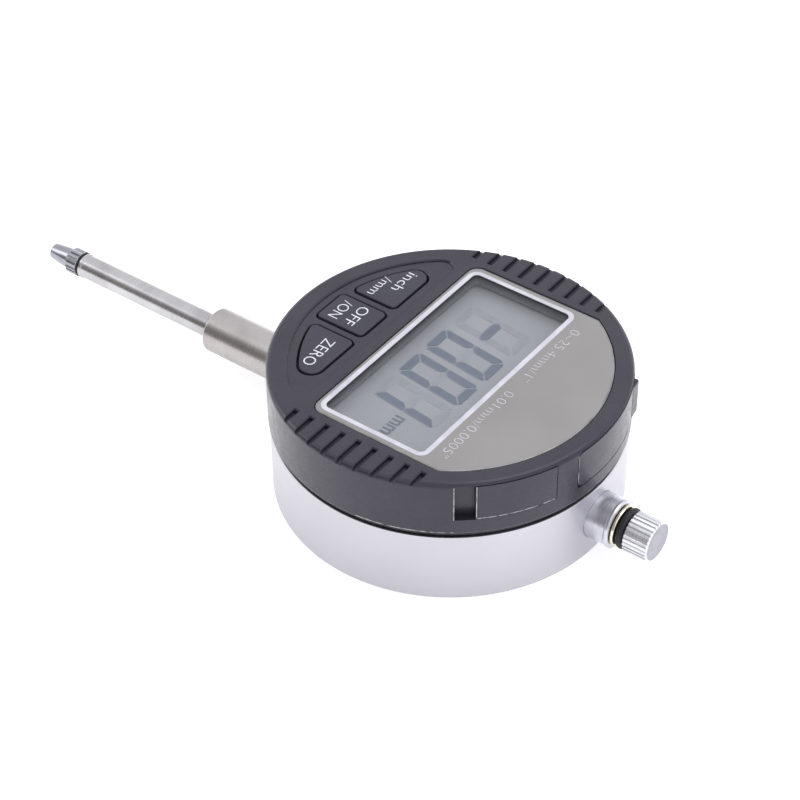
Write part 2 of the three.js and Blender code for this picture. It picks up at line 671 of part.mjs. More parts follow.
function buildCase() {
  piece('rear_case', rearCase(), ALUMINIUM);
  piece('back_plate', backPlate(), ALUMINIUM);
  backScrewPlaces().forEach((place, i) => {
    piece(`back_screw_${i + 1}`, screw(place, 0, BACK_SCREW_LENGTH), HARD_STEEL);
  });
  piece('stem', stem(), STAINLESS);
  const bore = SPINDLE_RADIUS + RUN;
  const stemBushEnd = -STEM_END - BUSH_PROUD;
  piece('lower_bush', sleeve(bore, BUSH_RADIUS, stemBushEnd, stemBushEnd + BUSH_LENGTH), BRASS);
  piece('upper_boss', upperBoss(), ALUMINIUM);
  piece('upper_bush', sleeve(bore, BUSH_RADIUS, FLANGE_INNER + FIT, FLANGE_INNER + BUSH_LENGTH), BRASS);
  piece('guide_rail', guideRail(), HARD_STEEL);
  const footBottom = RAIL_TOP - RAIL_FOOT_THICKNESS - FIT;
  railScrewPlaces().forEach((place, i) => {
    const length = CASE_HEIGHT - 2 * AIR - footBottom;
    piece(`rail_screw_${i + 1}`, screw(place, footBottom - SCREW_HEAD_HEIGHT, length), HARD_STEEL);
  });
  piece('reader_board', readerBoard(), BOARD_GREEN);
  piece('reader_chip', readerChip(), CHIP_BLACK);
  readerScrewPlaces().forEach((place, i) => {
    const head = READER_BOTTOM - FIT - SCREW_HEAD_HEIGHT;
    const length = WEB_BOTTOM - AIR - READER_BOTTOM;
    piece(`reader_screw_${i + 1}`, screw(place, head, length), HARD_STEEL);
  });
  piece('sensor_cable', sensorCable(), POLYIMIDE);
  const pinTop = BASE_BOTTOM - PLAY;
  piece('stop_pin', disc(STOP_PIN_RADIUS, WEB_BOTTOM + AIR, pinTop, 0, -STOP_CIRCLE), HARD_STEEL);
  piece('return_spring', returnSpring(), HARD_STEEL);
}

// ---------------------------------------------------------------- spindle

/** Spindle, bored at its end for the contact's thread and stepped down for the knob. */
function spindle() {
  const body = turnedOnSpindle([
    [0, -SPINDLE_END],
    [SPINDLE_RADIUS, -SPINDLE_END],
    [SPINDLE_RADIUS, BOSS_END],
    [THREAD_RADIUS, BOSS_END],
    [THREAD_RADIUS, KNOB_START + KNOB_THREAD_LENGTH],
    [0, KNOB_START + KNOB_THREAD_LENGTH],
  ]);
  return cut(body, rod(THREAD_RADIUS + FIT, -SPINDLE_END - 1, -SPINDLE_END + THREAD_LENGTH + AIR));
}

/** A cylinder on the spindle line with flutes along it. */
function fluted(radius, depth, count, y0, y1) {
  const points = Array.from({ length: 2 * count }, (_, i) => {
    const r = i % 2 ? radius - depth : radius;
    return new THREE.Vector2(...polar(r, (180 / count) * i));
  });
  const options = { depth: y1 - y0, bevelEnabled: false };
  const geometry = new THREE.ExtrudeGeometry(new THREE.Shape(points), options);
  return solid(geometry.rotateX(-Math.PI / 2).translate(0, y0, SPINDLE_HEIGHT));
}

function contactPoint() {
  const top = -SPINDLE_END - CONTACT_WASHER_WIDTH - 2 * FIT;
  const shoulder = top - CONTACT_COLLAR_WIDTH;
  const tip = shoulder - CONTACT_TAPER_LENGTH;
  const taper = turnedOnSpindle([
    [0, tip],
    [CONTACT_END_RADIUS - CONTACT_END_CHAMFER, tip],
    [CONTACT_END_RADIUS, tip + CONTACT_END_CHAMFER],
    [CONTACT_TAPER_RADIUS, shoulder + FIT],
    [0, shoulder + FIT],
  ]);
  return join(
    fluted(CONTACT_COLLAR_RADIUS, CONTACT_FLUTE_DEPTH, CONTACT_FLUTES, shoulder, top),
    taper,
    rod(THREAD_RADIUS, top - FIT, -SPINDLE_END + THREAD_LENGTH),
  );
}

function liftingKnob() {
  return cut(
    fluted(KNOB_RADIUS, KNOB_FLUTE_DEPTH, KNOB_FLUTES, KNOB_START, KNOB_END),
    rod(THREAD_RADIUS + FIT, KNOB_START - 1, KNOB_START + KNOB_THREAD_LENGTH + AIR),
  );
}

/** Block clamped on the spindle, with the arm that carries the scale. */
function scaleCarrier() {
  const half = CARRIER_WIDTH / 2;
  const [y0, y1] = [CARRIER_Y - CARRIER_LENGTH / 2, CARRIER_Y + CARRIER_LENGTH / 2];
  const block = box(-half, half, y0, y1, CARRIER_BOTTOM, CARRIER_TOP);
  const arm = box(
    half - 1, ARM_END, CARRIER_Y - ARM_LENGTH / 2, CARRIER_Y + ARM_LENGTH / 2,
    ARM_BOTTOM, ARM_TOP,
  );
  const pinRoom = GUIDE_PIN_RADIUS + FIT;
  const pinHole = new THREE.CylinderGeometry(pinRoom, pinRoom, 2 * GUIDE_PIN_SEAT, THREAD_FACETS);
  return cut(
    join(block, arm),
    rod(SPINDLE_RADIUS + FIT, y0 - 1, y1 + 1),
    solid(pinHole.rotateZ(Math.PI / 2).translate(-half, CARRIER_Y, SPINDLE_HEIGHT)),
    screwHole([0, CARRIER_Y], FIT, CARRIER_BOTTOM - 1, SPINDLE_HEIGHT),
  );
}

function scaleStrip() {
  const half = ARM_LENGTH / 2 - SCALE_MARGIN;
  return box(
    ARM_START + SCALE_MARGIN, ARM_END - SCALE_MARGIN, CARRIER_Y - half, CARRIER_Y + half,
    SCALE_BOTTOM, SCALE_BOTTOM + SCALE_THICKNESS,
  );
}

function guidePin() {
  const x0 = RAIL_BACK - AIR;
  const x1 = -CARRIER_WIDTH / 2 + GUIDE_PIN_SEAT - AIR;
  const pin = new THREE.CylinderGeometry(GUIDE_PIN_RADIUS, GUIDE_PIN_RADIUS, x1 - x0, THREAD_FACETS);
  return solid(pin.rotateZ(Math.PI / 2).translate((x0 + x1) / 2, CARRIER_Y, SPINDLE_HEIGHT));
}

function buildSpindle() {
  const bore = THREAD_RADIUS + FIT;
  piece('spindle', spindle(), STAINLESS);
  piece('contact_point', contactPoint(), HARD_STEEL);
  const washerEnd = -SPINDLE_END - FIT;
  const washer = sleeve(bore, CONTACT_WASHER_RADIUS, washerEnd - CONTACT_WASHER_WIDTH, washerEnd);
  piece('contact_washer', washer, RUBBER);
  const knobRing = sleeve(bore, KNOB_RING_RADIUS, KNOB_RING_START, KNOB_RING_START + KNOB_RING_WIDTH);
  piece('knob_ring', knobRing, BRASS);
  const oRingEnd = KNOB_O_RING_START + KNOB_O_RING_WIDTH;
  piece('knob_o_ring', sleeve(bore, KNOB_O_RING_RADIUS, KNOB_O_RING_START, oRingEnd), RUBBER);
  piece('lifting_knob', liftingKnob(), ALUMINIUM);
  piece('scale_carrier', scaleCarrier(), ALUMINIUM);
  piece('scale_strip', scaleStrip(), BOARD_GREEN);
  piece('guide_pin', guidePin(), HARD_STEEL);
  const grubTop = SPINDLE_HEIGHT - SPINDLE_RADIUS - FIT;
  const grub = disc(SCREW_RADIUS, CARRIER_BOTTOM + FIT, grubTop, 0, CARRIER_Y, THREAD_FACETS);
  piece('carrier_screw', grub, HARD_STEEL);
}

// ---------------------------------------------------------------- display unit

/** Outline with a round top and a flat bottom, grown all round by a clearance. */
function lensShape(grow) {
  const radius = HOUSING_RADIUS - LENS_BORDER + grow;
  const half = LENS_HALF_WIDTH + grow;
  const bottom = LENS_BOTTOM - grow;
  const corner = LENS_CORNER + grow;
  const angle = Math.acos(half / radius);
  const shape = new THREE.Shape();
  shape.absarc(0, 0, radius, angle, Math.PI - angle, false);
  shape.absarc(-half + corner, bottom + corner, corner, Math.PI, 1.5 * Math.PI, false);
  shape.absarc(half - corner, bottom + corner, corner, -Math.PI / 2, 0, false);
  return shape;
}

/** Button panel: an arc towards the stem, closed by a straight line at the lens. */
function panelShape() {
  const radius = HOUSING_RADIUS - PANEL_BORDER;
  const y = PANEL_TOP - PANEL_CORNER;
  const x = Math.sqrt((radius - PANEL_CORNER) ** 2 - y ** 2);
  const meet = Math.atan2(y, x);
  const shape = new THREE.Shape();
  shape.absarc(x, y, PANEL_CORNER, Math.PI / 2, meet, true);
  shape.absarc(0, 0, radius, meet, -Math.PI - meet, true);
  shape.absarc(-x, y, PANEL_CORNER, -Math.PI - meet, -1.5 * Math.PI, true);
  return shape;
}

/** Middle of the round corner where a side button's arc meets its straight side. */
function buttonNose() {
  const y = BUTTON_TOP - SIDE_BUTTON_NOSE;
  return [Math.sqrt((BUTTON_ARC - SIDE_BUTTON_NOSE) ** 2 - y ** 2), y];
}

/** Side button: straight towards the lens and the middle, an arc towards the edge. */
function sideButtonShape(side, grow) {
  const radius = BUTTON_ARC + grow;
  const top = BUTTON_TOP + grow;
  const start = SIDE_BUTTON_START - grow;
  const [nose, corner] = [SIDE_BUTTON_NOSE + grow, BUTTON_CORNER + grow];
  const [noseX, noseY] = buttonNose();
  const footX = start + corner;
  const footY = -Math.sqrt((radius - corner) ** 2 - footX ** 2);
  const [noseMeet, footMeet] = [Math.atan2(noseY, noseX), Math.atan2(footY, footX)];
  const shape = new THREE.Shape();
  shape.absarc(start + corner, top - corner, corner, Math.PI, Math.PI / 2, true);
  shape.absarc(noseX, noseY, nose, Math.PI / 2, noseMeet, true);
  shape.absarc(0, 0, radius, noseMeet, footMeet, true);
  shape.absarc(footX, footY, corner, footMeet, -Math.PI, true);
  const points = shape.getPoints(CORNER_STEPS).map((p) => new THREE.Vector2(side * p.x, p.y));
  return new THREE.Shape(points);
}

function powerButtonShape(grow) {
  const half = POWER_HALF_WIDTH + grow;
  return roundedRectangle(-half, half, POWER_BOTTOM - grow, BUTTON_TOP + grow, BUTTON_CORNER + grow);
}

function buttons() {
  const sideButton = (name, side) => ({
    name,
    shape: (grow) => sideButtonShape(side, grow),
    x: side * SIDE_PLUNGER_X,
    y: SIDE_PLUNGER_Y,
  });
  return [
    sideButton('unit_button', -1),
    { name: 'power_button', shape: powerButtonShape, x: 0, y: POWER_Y },
    sideButton('zero_button', 1),
  ];
}

function postPlaces() {
  const radius = HOUSING_RADIUS - POST_INSET;
  const [noseX, noseY] = buttonNose();
  const beside = (SIDE_BUTTON_NOSE + BUTTON_FLANGE + POST_TO_BUTTON + POST_RADIUS) / radius;
  const angle = THREE.MathUtils.radToDeg(Math.atan2(noseY, noseX) + beside);
  return [
    polar(radius, 180 - angle),
    polar(radius, angle),
    polar(HOUSING_RADIUS - BACK_POST_INSET, BACK_POST_ANGLE),
  ];
}

/** Shell with the lens seat, window, button holes, grips and side openings. */
function displayHousing() {
  const rimStart = HOUSING_RADIUS - HOUSING_EDGE;
  const rim = [30, 60].map((angle) => {
    const [across, up] = polar(HOUSING_EDGE, angle);
    return [rimStart + across, HOUSING_TOP - HOUSING_EDGE + up];
  });
  const shell = turned([
    [0, ROOF_BOTTOM],
    [HOUSING_INNER, ROOF_BOTTOM],
    [HOUSING_INNER, HOUSING_BOTTOM],
    [HOUSING_RADIUS, HOUSING_BOTTOM],
    [HOUSING_RADIUS, HOUSING_TOP - HOUSING_EDGE],
    ...rim,
    [rimStart, HOUSING_TOP],
    [0, HOUSING_TOP],
  ]);
  const posts = postPlaces().map(([x, y]) => cut(
    disc(POST_RADIUS, BOARD_TOP + AIR, ROOF_BOTTOM + FIT, x, y),
    screwHole([x, y], FIT, 0, ROOF_BOTTOM - AIR),
  ));
  const windowShape = roundedRectangle(
    -WINDOW_HALF_WIDTH, WINDOW_HALF_WIDTH, -WINDOW_HALF_HEIGHT, WINDOW_HALF_HEIGHT, WINDOW_CORNER,
  );
  const above = HOUSING_TOP + 1;
  const openings = [
    raised(lensShape(FIT), LENS_SEAT, above, ARC_STEPS),
    raised(windowShape, ROOF_BOTTOM - 1, above, CORNER_STEPS),
    raised(panelShape(), PANEL_FACE, above, ARC_STEPS),
    ...buttons().map(({ shape }) => raised(shape(AIR), ROOF_BOTTOM - 1, above, CORNER_STEPS)),
    outwardBox(
      DRAWER_ANGLE, CELL_CENTRE, HOUSING_RADIUS, DRAWER_HALF_WIDTH + PLAY,
      DRAWER_BOTTOM - PLAY, CELL_TOP + PLAY,
    ),
    edgeBand(
      HOUSING_INNER, HOUSING_RADIUS + 1, COVER_HALF_WIDTH + PLAY,
      COVER_BOTTOM - PLAY, COVER_TOP + PLAY,
    ),
    portRecess(),
    outwardBox(
      PORT_ANGLE, PORT_SOCKET_FACE, HOUSING_RADIUS, PORT_PLUG_WIDTH / 2 + PLAY,
      PORT_PLUG_BOTTOM - PLAY, PORT_PLUG_TOP + PLAY,
    ),
  ];
  return cut(join(shell, ...posts), ...openings, ...grips());
}

/** A band round the edge of the housing, cut off straight on both sides of the drawer. */
function edgeBand(inner, outer, halfWidth, z0, z1) {
  const middle = box(0, outer, -halfWidth, halfWidth, z0, z1);
  return ring(inner, outer, z0, z1).intersect(middle).rotate([0, 0, DRAWER_ANGLE]);
}

/** Room for the port cover, with the fingernail pocket beside it. */
function portRecess() {
  const gap = THREE.MathUtils.radToDeg(PLAY / HOUSING_RADIUS);
  const from = PORT_ANGLE - PORT_HALF_ANGLE - NAIL_POCKET_ANGLE;
  const to = PORT_ANGLE + PORT_HALF_ANGLE + gap;
  return sector(PORT_RECESS - PLAY, HOUSING_RADIUS + 2, from, to, PORT_BOTTOM - PLAY, PORT_TOP + PLAY);
}

function grips() {
  const tools = [];
  const floor = HOUSING_TOP - GRIP_DEPTH;
  const from = HOUSING_RADIUS - GRIP_LENGTH;
  for (let i = 0; i < GRIPS_PER_SIDE; i += 1) {
    const y = (i - (GRIPS_PER_SIDE - 1) / 2) * GRIP_PITCH;
    const [y0, y1] = [y - GRIP_WIDTH / 2, y + GRIP_WIDTH / 2];
    tools.push(box(from, HOUSING_RADIUS + 1, y0, y1, floor, HOUSING_TOP + 1));
    tools.push(box(-HOUSING_RADIUS - 1, -from, y0, y1, floor, HOUSING_TOP + 1));
  }
  return tools;
}

/** Floor of the display unit, with the hub it turns on and the lug that stops it. */
function displayBase() {
  const groove = HUB_RADIUS - CLIP_BITE;
  const base = turned([
    [HUB_BORE_RADIUS, HUB_BOTTOM],
    [HUB_RADIUS, HUB_BOTTOM],
    [HUB_RADIUS, CLIP_BOTTOM],
    [groove, CLIP_BOTTOM],
    [groove, CLIP_BOTTOM + CLIP_THICKNESS + FIT],
    [HUB_RADIUS, CLIP_BOTTOM + CLIP_THICKNESS + FIT],
    [HUB_RADIUS, BASE_BOTTOM],
    [HOUSING_INNER - AIR, BASE_BOTTOM],
    [HOUSING_INNER - AIR, BASE_TOP],
    [HUB_BORE_RADIUS, BASE_TOP],
    [HUB_BORE_RADIUS, HUB_BOTTOM],
  ], MIDDLE_FACETS);
  const pinAngle = THREE.MathUtils.radToDeg((STOP_PIN_RADIUS + PLAY) / STOP_CIRCLE);
  const lugHalf = 180 - TURN_LIMIT - pinAngle;
  const lug = sector(
    STOP_CIRCLE - STOP_LUG_WIDTH / 2, STOP_CIRCLE + STOP_LUG_WIDTH / 2,
    90 - lugHalf, 90 + lugHalf, CASE_HEIGHT + AIR, BASE_BOTTOM + FIT,
  );
  const holes = postPlaces().map((place) => screwHole(place, PLAY, 0, HOUSING_TOP));
  return cut(join(base, lug), ...holes);
}

/** C-shaped clip in the hub's groove, under the web of the case. */
function hubClip() {
  const inner = HUB_RADIUS - CLIP_BITE + FIT;
  const outer = HUB_RADIUS + CLIP_WIDTH;
  const clip = ring(inner, outer, CLIP_BOTTOM + FIT / 2, CLIP_BOTTOM + CLIP_THICKNESS, SHAFT_FACETS);
  const mouth = box(-CLIP_MOUTH / 2, CLIP_MOUTH / 2, 0, outer + 1, HUB_BOTTOM, WEB_BOTTOM);
  return cut(clip, mouth);
}

function mainBoard() {
  const board = turned([
    [0, BOARD_BOTTOM], [HOUSING_INNER - 2 * AIR, BOARD_BOTTOM],
    [HOUSING_INNER - 2 * AIR, BOARD_TOP], [0, BOARD_TOP],
  ], MIDDLE_FACETS);
  return cut(board, ...postPlaces().map((place) => screwHole(place, PLAY, 0, HOUSING_TOP)));
}

function controllerChip() {
  const [x, y] = CONTROLLER_PLACE;
  const half = CONTROLLER_SIZE / 2;
  const bottom = BOARD_TOP + FIT;
  return box(x - half, x + half, y - half, y + half, bottom, bottom + CHIP_HEIGHT);
}

/** Frame round the display glass, on four legs that stand on the board. */
function lcdFrame() {
  const [innerX, innerY] = [LCD_HALF_WIDTH + FIT, LCD_HALF_HEIGHT + FIT];
  const [outerX, outerY] = [innerX + LCD_FRAME_WALL, innerY + LCD_FRAME_WALL];
  const top = ROOF_BOTTOM - FIT;
  const bottom = LCD_BOTTOM - FIT;
  const frame = cut(
    box(-outerX, outerX, -outerY, outerY, bottom, top),
    box(-innerX, innerX, -innerY, innerY, bottom - 1, top + 1),
  );
  const legs = [];
  for (const sx of [-1, 1]) {
    for (const sy of [-1, 1]) {
      const xs = [sx * outerX, sx * (outerX - LCD_LEG)].sort((a, b) => a - b);
      const ys = [sy * outerY, sy * (outerY - LCD_LEG)].sort((a, b) => a - b);
      legs.push(box(...xs, ...ys, BOARD_TOP + FIT, bottom + FIT / 2));
    }
  }
  return join(frame, ...legs);
}

function buttonMat() {
  const places = buttons();
  const reachX = SIDE_PLUNGER_X + DOME_RADIUS + AIR;
  const ys = places.map(({ y }) => y);
  const [y0, y1] = [Math.min(...ys) - DOME_RADIUS - AIR, Math.max(...ys) + DOME_RADIUS + AIR];
  const sheet = box(-reachX, reachX, y0, y1, MAT_BOTTOM, MAT_TOP);
  return join(sheet, ...places.map(({ x, y }) => disc(DOME_RADIUS, MAT_TOP - FIT, DOME_TOP, x, y)));
}

/** Button cap, the flange that keeps it in, and the plunger that works the mat. */
function button({ shape, x, y }) {
  const flangeBottom = BUTTON_FLANGE_TOP - BUTTON_FLANGE_THICKNESS;
  return join(
    raised(shape(0), BUTTON_FLANGE_TOP - FIT, BUTTON_FACE, CORNER_STEPS),
    raised(shape(BUTTON_FLANGE), flangeBottom, BUTTON_FLANGE_TOP, CORNER_STEPS),
    disc(PLUNGER_RADIUS, PLUNGER_BOTTOM, BUTTON_FLANGE_TOP - FIT, x, y),
  );
}

/** Drawer with a curved cover that fills the opening in the housing. */
function batteryDrawer() {
  const top = CELL_TOP;
  const floor = DRAWER_BOTTOM + DRAWER_LIP;
  const shell = join(
    disc(DRAWER_HALF_WIDTH, DRAWER_BOTTOM, top, CELL_CENTRE, 0, MIDDLE_FACETS),
    box(CELL_CENTRE, COVER_INNER + FIT, -DRAWER_HALF_WIDTH, DRAWER_HALF_WIDTH, DRAWER_BOTTOM, top),
  );
  const contactRoom = PLUS_CONTACT_WIDTH / 2 + AIR;
  const tray = cut(
    shell,
    disc(CELL_RADIUS + FIT, floor, top + 1, CELL_CENTRE, 0, MIDDLE_FACETS),
    disc(CELL_RADIUS - CELL_LEDGE, DRAWER_BOTTOM - 1, top, CELL_CENTRE, 0, MIDDLE_FACETS),
    box(0, CELL_CENTRE, -contactRoom, contactRoom, floor, top + 1),
  );
  const ribY = COVER_HALF_WIDTH - GRIP_RIB_INSET;
  const ribX = Math.sqrt(HOUSING_RADIUS ** 2 - ribY ** 2);
  const rib = box(
    ribX - 1, ribX + GRIP_RIB_PROUD, ribY - GRIP_RIB_WIDTH / 2, ribY + GRIP_RIB_WIDTH / 2,
    COVER_BOTTOM, COVER_TOP,
  );
  const cover = edgeBand(COVER_INNER, HOUSING_RADIUS, COVER_HALF_WIDTH, COVER_BOTTOM, COVER_TOP);
  return join(join(tray, rib).rotate([0, 0, DRAWER_ANGLE]), cover);
}

function portCover() {
  const cover = sector(
    PORT_RECESS, HOUSING_RADIUS, PORT_ANGLE - PORT_HALF_ANGLE, PORT_ANGLE + PORT_HALF_ANGLE,
    PORT_BOTTOM, PORT_TOP,
  );
  const plug = outwardBox(
    PORT_ANGLE, PORT_PLUG_END, PORT_RECESS + PORT_COVER_THICKNESS / 2, PORT_PLUG_WIDTH / 2,
    PORT_PLUG_BOTTOM, PORT_PLUG_TOP,
  );
  return join(cover, plug);
}

/** Four-way socket behind the port cover. */
function dataConnector() {
  const half = PORT_PLUG_WIDTH / 2 - 2 * AIR;
  const wall = PORT_SOCKET_WALL;
  const [bottom, top] = [BOARD_TOP + FIT, PORT_PLUG_TOP];
  const body = box(PORT_SOCKET_FACE - PORT_SOCKET_LENGTH, PORT_SOCKET_FACE, -half, half, bottom, top);
  const mouth = box(
    PORT_SOCKET_FACE - PORT_MOUTH_DEPTH, PORT_SOCKET_FACE + 1,
    -half + wall, half - wall, bottom + 2 * wall, top - wall,
  );
  return cut(body, mouth).rotate([0, 0, PORT_ANGLE]);
}

function buildDisplay() {
  piece('display_housing', displayHousing(), HOUSING_PLASTIC);
  piece('lens', raised(lensShape(0), LENS_BACK, LENS_FACE, ARC_STEPS), LENS_PRINT);
  piece('lcd_glass', box(
    -LCD_HALF_WIDTH, LCD_HALF_WIDTH, -LCD_HALF_HEIGHT, LCD_HALF_HEIGHT, LCD_BOTTOM, LCD_TOP,
  ), LCD_GREEN);
  piece('lcd_frame', lcdFrame(), WHITE_PLASTIC);
  const zebraY = -WINDOW_HALF_HEIGHT;
  piece('zebra_strip', box(
    -WINDOW_HALF_WIDTH + ZEBRA_WIDTH, WINDOW_HALF_WIDTH - ZEBRA_WIDTH,
    zebraY - ZEBRA_WIDTH / 2, zebraY + ZEBRA_WIDTH / 2, BOARD_TOP + FIT, LCD_BOTTOM - PLAY,
  ), RUBBER);
  piece('main_board', mainBoard(), BOARD_GREEN);
  piece('controller_chip', controllerChip(), CHIP_BLACK);
  piece('button_mat', buttonMat(), RUBBER);
  piece('data_connector', dataConnector(), BLACK_PLASTIC);
  const [minusLength, minusWidth] = MINUS_CONTACT;
  piece('battery_contact_minus', outwardBox(
    DRAWER_ANGLE, CELL_CENTRE - minusLength / 2, CELL_CENTRE + minusLength / 2, minusWidth / 2,
    BOARD_TOP + FIT, BOARD_TOP + FIT + CONTACT_STRIP,
  ), BRASS);
  piece('battery_contact_plus', outwardBox(
    DRAWER_ANGLE, DRAWER_END - PLAY - CONTACT_STRIP, DRAWER_END - PLAY, PLUS_CONTACT_WIDTH / 2,
    BOARD_TOP + FIT, CELL_TOP - AIR,
  ), BRASS);
  piece('display_base', displayBase(), BLACK_PLASTIC);
  postPlaces().forEach((place, i) => {
    const head = BASE_BOTTOM - FIT - SCREW_HEAD_HEIGHT;
    piece(`base_screw_${i + 1}`, screw(place, head, ROOF_BOTTOM - BASE_BOTTOM - 2 * AIR), HARD_STEEL);
  });
  piece('hub_clip', hubClip(), HARD_STEEL);
  piece('swivel_ring', ring(
    HOUSING_INNER + PLAY, CASE_RADIUS - AIR, CASE_HEIGHT + PLAY, HOUSING_BOTTOM - FIT,
  ), RUBBER);
  buttons().forEach((item) => piece(item.name, button(item), HOUSING_PLASTIC));
  piece('battery_drawer', batteryDrawer(), HOUSING_PLASTIC);
  const [cellX, cellY] = polar(CELL_CENTRE, DRAWER_ANGLE);
  piece('coin_cell', disc(CELL_RADIUS, CELL_BOTTOM, CELL_TOP, cellX, cellY, MIDDLE_FACETS), CELL_STEEL);
  piece('port_cover', portCover(), HOUSING_PLASTIC);
}

buildCase();
buildSpindle();
buildDisplay();

export default indicator;
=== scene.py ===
"""Looks of a digital dial indicator, built round its CAD frame.

Shapes are made in millimetres in the row frame: +Z out of the display, +Y along the spindle
towards the lifting knob, the back lying on Z = 0. They are scaled to metres at the end.
"""

import math

import bmesh
import bpy
from mathutils import Matrix, Vector


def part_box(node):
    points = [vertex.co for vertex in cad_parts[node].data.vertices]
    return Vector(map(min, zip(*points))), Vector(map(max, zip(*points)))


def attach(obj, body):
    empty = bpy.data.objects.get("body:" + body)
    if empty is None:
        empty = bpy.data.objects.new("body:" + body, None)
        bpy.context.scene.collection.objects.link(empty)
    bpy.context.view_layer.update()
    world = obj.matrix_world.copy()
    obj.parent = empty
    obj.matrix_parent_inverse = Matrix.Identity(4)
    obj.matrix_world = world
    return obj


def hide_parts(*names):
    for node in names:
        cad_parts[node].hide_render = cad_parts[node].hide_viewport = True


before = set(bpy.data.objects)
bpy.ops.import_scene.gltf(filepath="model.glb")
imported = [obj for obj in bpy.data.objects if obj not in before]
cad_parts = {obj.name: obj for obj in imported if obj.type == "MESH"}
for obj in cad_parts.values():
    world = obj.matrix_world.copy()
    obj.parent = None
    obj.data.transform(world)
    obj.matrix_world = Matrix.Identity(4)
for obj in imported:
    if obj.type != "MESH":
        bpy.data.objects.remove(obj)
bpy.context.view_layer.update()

MM = 0.001


def span(node):
    """Lowest and highest corner of a CAD node, in millimetres."""
    low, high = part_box(node)
    return low / MM, high / MM


# ------------------------------------------------------------------ sizes from the frame

CASE_HIGH = span("rear_case")[1]
HOUSING_LOW, HOUSING_HIGH = span("display_housing")
LENS_LOW, LENS_HIGH = span("lens")
LCD_LOW, LCD_HIGH = span("lcd_glass")
BACK_HIGH = span("back_plate")[1]
SEAL_LOW, SEAL_HIGH = span("swivel_ring")
STEM_LOW, STEM_HIGH = span("stem")
BUSH_LOW, BUSH_HIGH = span("lower_bush")
BOSS_LOW, BOSS_HIGH = span("upper_boss")
SPINDLE_LOW, SPINDLE_HIGH = span("spindle")
TIP_LOW, TIP_HIGH = span("contact_point")
WASHER_LOW, WASHER_HIGH = span("contact_washer")
RING_LOW, RING_HIGH = span("knob_ring")
O_RING_LOW, O_RING_HIGH = span("knob_o_ring")
KNOB_LOW, KNOB_HIGH = span("lifting_knob")
BUTTON_LOW, BUTTON_HIGH = span("power_button")
CELL_LOW, CELL_HIGH = span("coin_cell")
DRAWER_LOW, DRAWER_HIGH = span("battery_drawer")
PORT_LOW, PORT_HIGH = span("port_cover")

RADIUS = HOUSING_HIGH.x
TOP = HOUSING_HIGH.z
CASE_RADIUS = CASE_HIGH.x
AXIS_Z = (SPINDLE_LOW.z + SPINDLE_HIGH.z) / 2
LENS_RADIUS = LENS_HIGH.y
ROOF_BOTTOM = LCD_HIGH.z + 0.2
LENS_SEAT = LENS_LOW.z - 0.1
PANEL_FACE = BUTTON_HIGH.z - 0.2

# ------------------------------------------------------------------ sizes of the fine shapes

GAP = 0.12  # between a fixed piece and its seat
HOUSING_WALL = 2.0
RIM = 0.95  # rounding of the rim
LENS_CORNER = 2.0
LENS_BEVEL = 0.32
WINDOW = (20.6, 9.5, 1.0)  # half width, half height, corner
FRAME_LINE = (21.4, 10.35, 1.7)
PANEL_TOP = -13.2
PANEL_RADIUS = 26.0
PANEL_CORNER = 2.0
BUTTON_TOP = -15.1
BUTTON_RADIUS = 24.2
BUTTON_CORNER = 0.9
BUTTON_GAP = 0.3
BUTTON_BEVEL = 0.28
SIDE_BUTTON_START = 5.3
SIDE_BUTTON_NOSE = 2.1
POWER_HALF_WIDTH = 3.55
POWER_BOTTOM = -24.4
GRIPS = 9
GRIP_PITCH = 3.07
GRIP_WIDTH = 0.85
GRIP_DEPTH = 0.75
GRIP_START = 24.0
GRIP_BEVEL = 0.2
DRAWER_ANGLE = 99.6
DRAWER_HALF_WIDTH = 10.8
COVER_HALF_WIDTH = 11.0
COVER_THICKNESS = 1.6
COVER_CORNER = 1.0
PORT_ANGLE = 56.4
PORT_HALF_ANGLE = 13.0
POCKET_ANGLE = 6.5
PORT_THICKNESS = 1.3
PLUG_HALF_WIDTH = 4.8
STEM_RADIUS = 4.0
STEM_CHAMFER = 0.5
BOSS_RADIUS = 4.05
SHAFT_RADIUS = 2.15
THREAD_RADIUS = 1.2
THREAD_BORE = THREAD_RADIUS + 0.1
KNOB_FLUTES = 30
KNOB_FLUTE_DEPTH = 0.22
TIP_FLUTES = 22
TIP_FLUTE_DEPTH = 0.14

LATHE_STEPS = 256
SHAFT_STEPS = 96
SMALL_STEPS = 48


# ------------------------------------------------------------------ meshes

def polar(radius, degrees):
    angle = math.radians(degrees)
    return radius * math.cos(angle), radius * math.sin(angle)


def arc(x, y, radius, start, end, steps):
    """Points on an arc, angles in degrees."""
    angles = [start + (end - start) * i / steps for i in range(steps + 1)]
    return [(x + px, y + py) for px, py in (polar(radius, a) for a in angles)]


def solid(vertices, faces):
    """A closed mesh object, in millimetres, with its faces turned outwards."""
    mesh = bpy.data.meshes.new("solid")
    mesh.from_pydata(vertices, [], faces)
    build = bmesh.new()
    build.from_mesh(mesh)
    bmesh.ops.recalc_face_normals(build, faces=build.faces)
    build.to_mesh(mesh)
    build.free()
    item = bpy.data.objects.new("solid", mesh)
    bpy.context.scene.collection.objects.link(item)
    return item


def loft(loops):
    """A closed mesh through loops of equally many points."""
    count = len(loops[0])
    vertices = [point for loop in loops for point in loop]
    faces = [list(range(count))[::-1], [len(vertices) - count + i for i in range(count)]]
    for level in range(len(loops) - 1):
        for i in range(count):
            a = level * count + i
            b = level * count + (i + 1) % count
            faces.append([a, b, b + count, a + count])
    return solid(vertices, faces)


def stack(outline, levels):
    """A plate whose outline, a function of how far it is grown, follows (grow, z) levels."""
    return loft([[(x, y, z) for x, y in outline(grow)] for grow, z in levels])


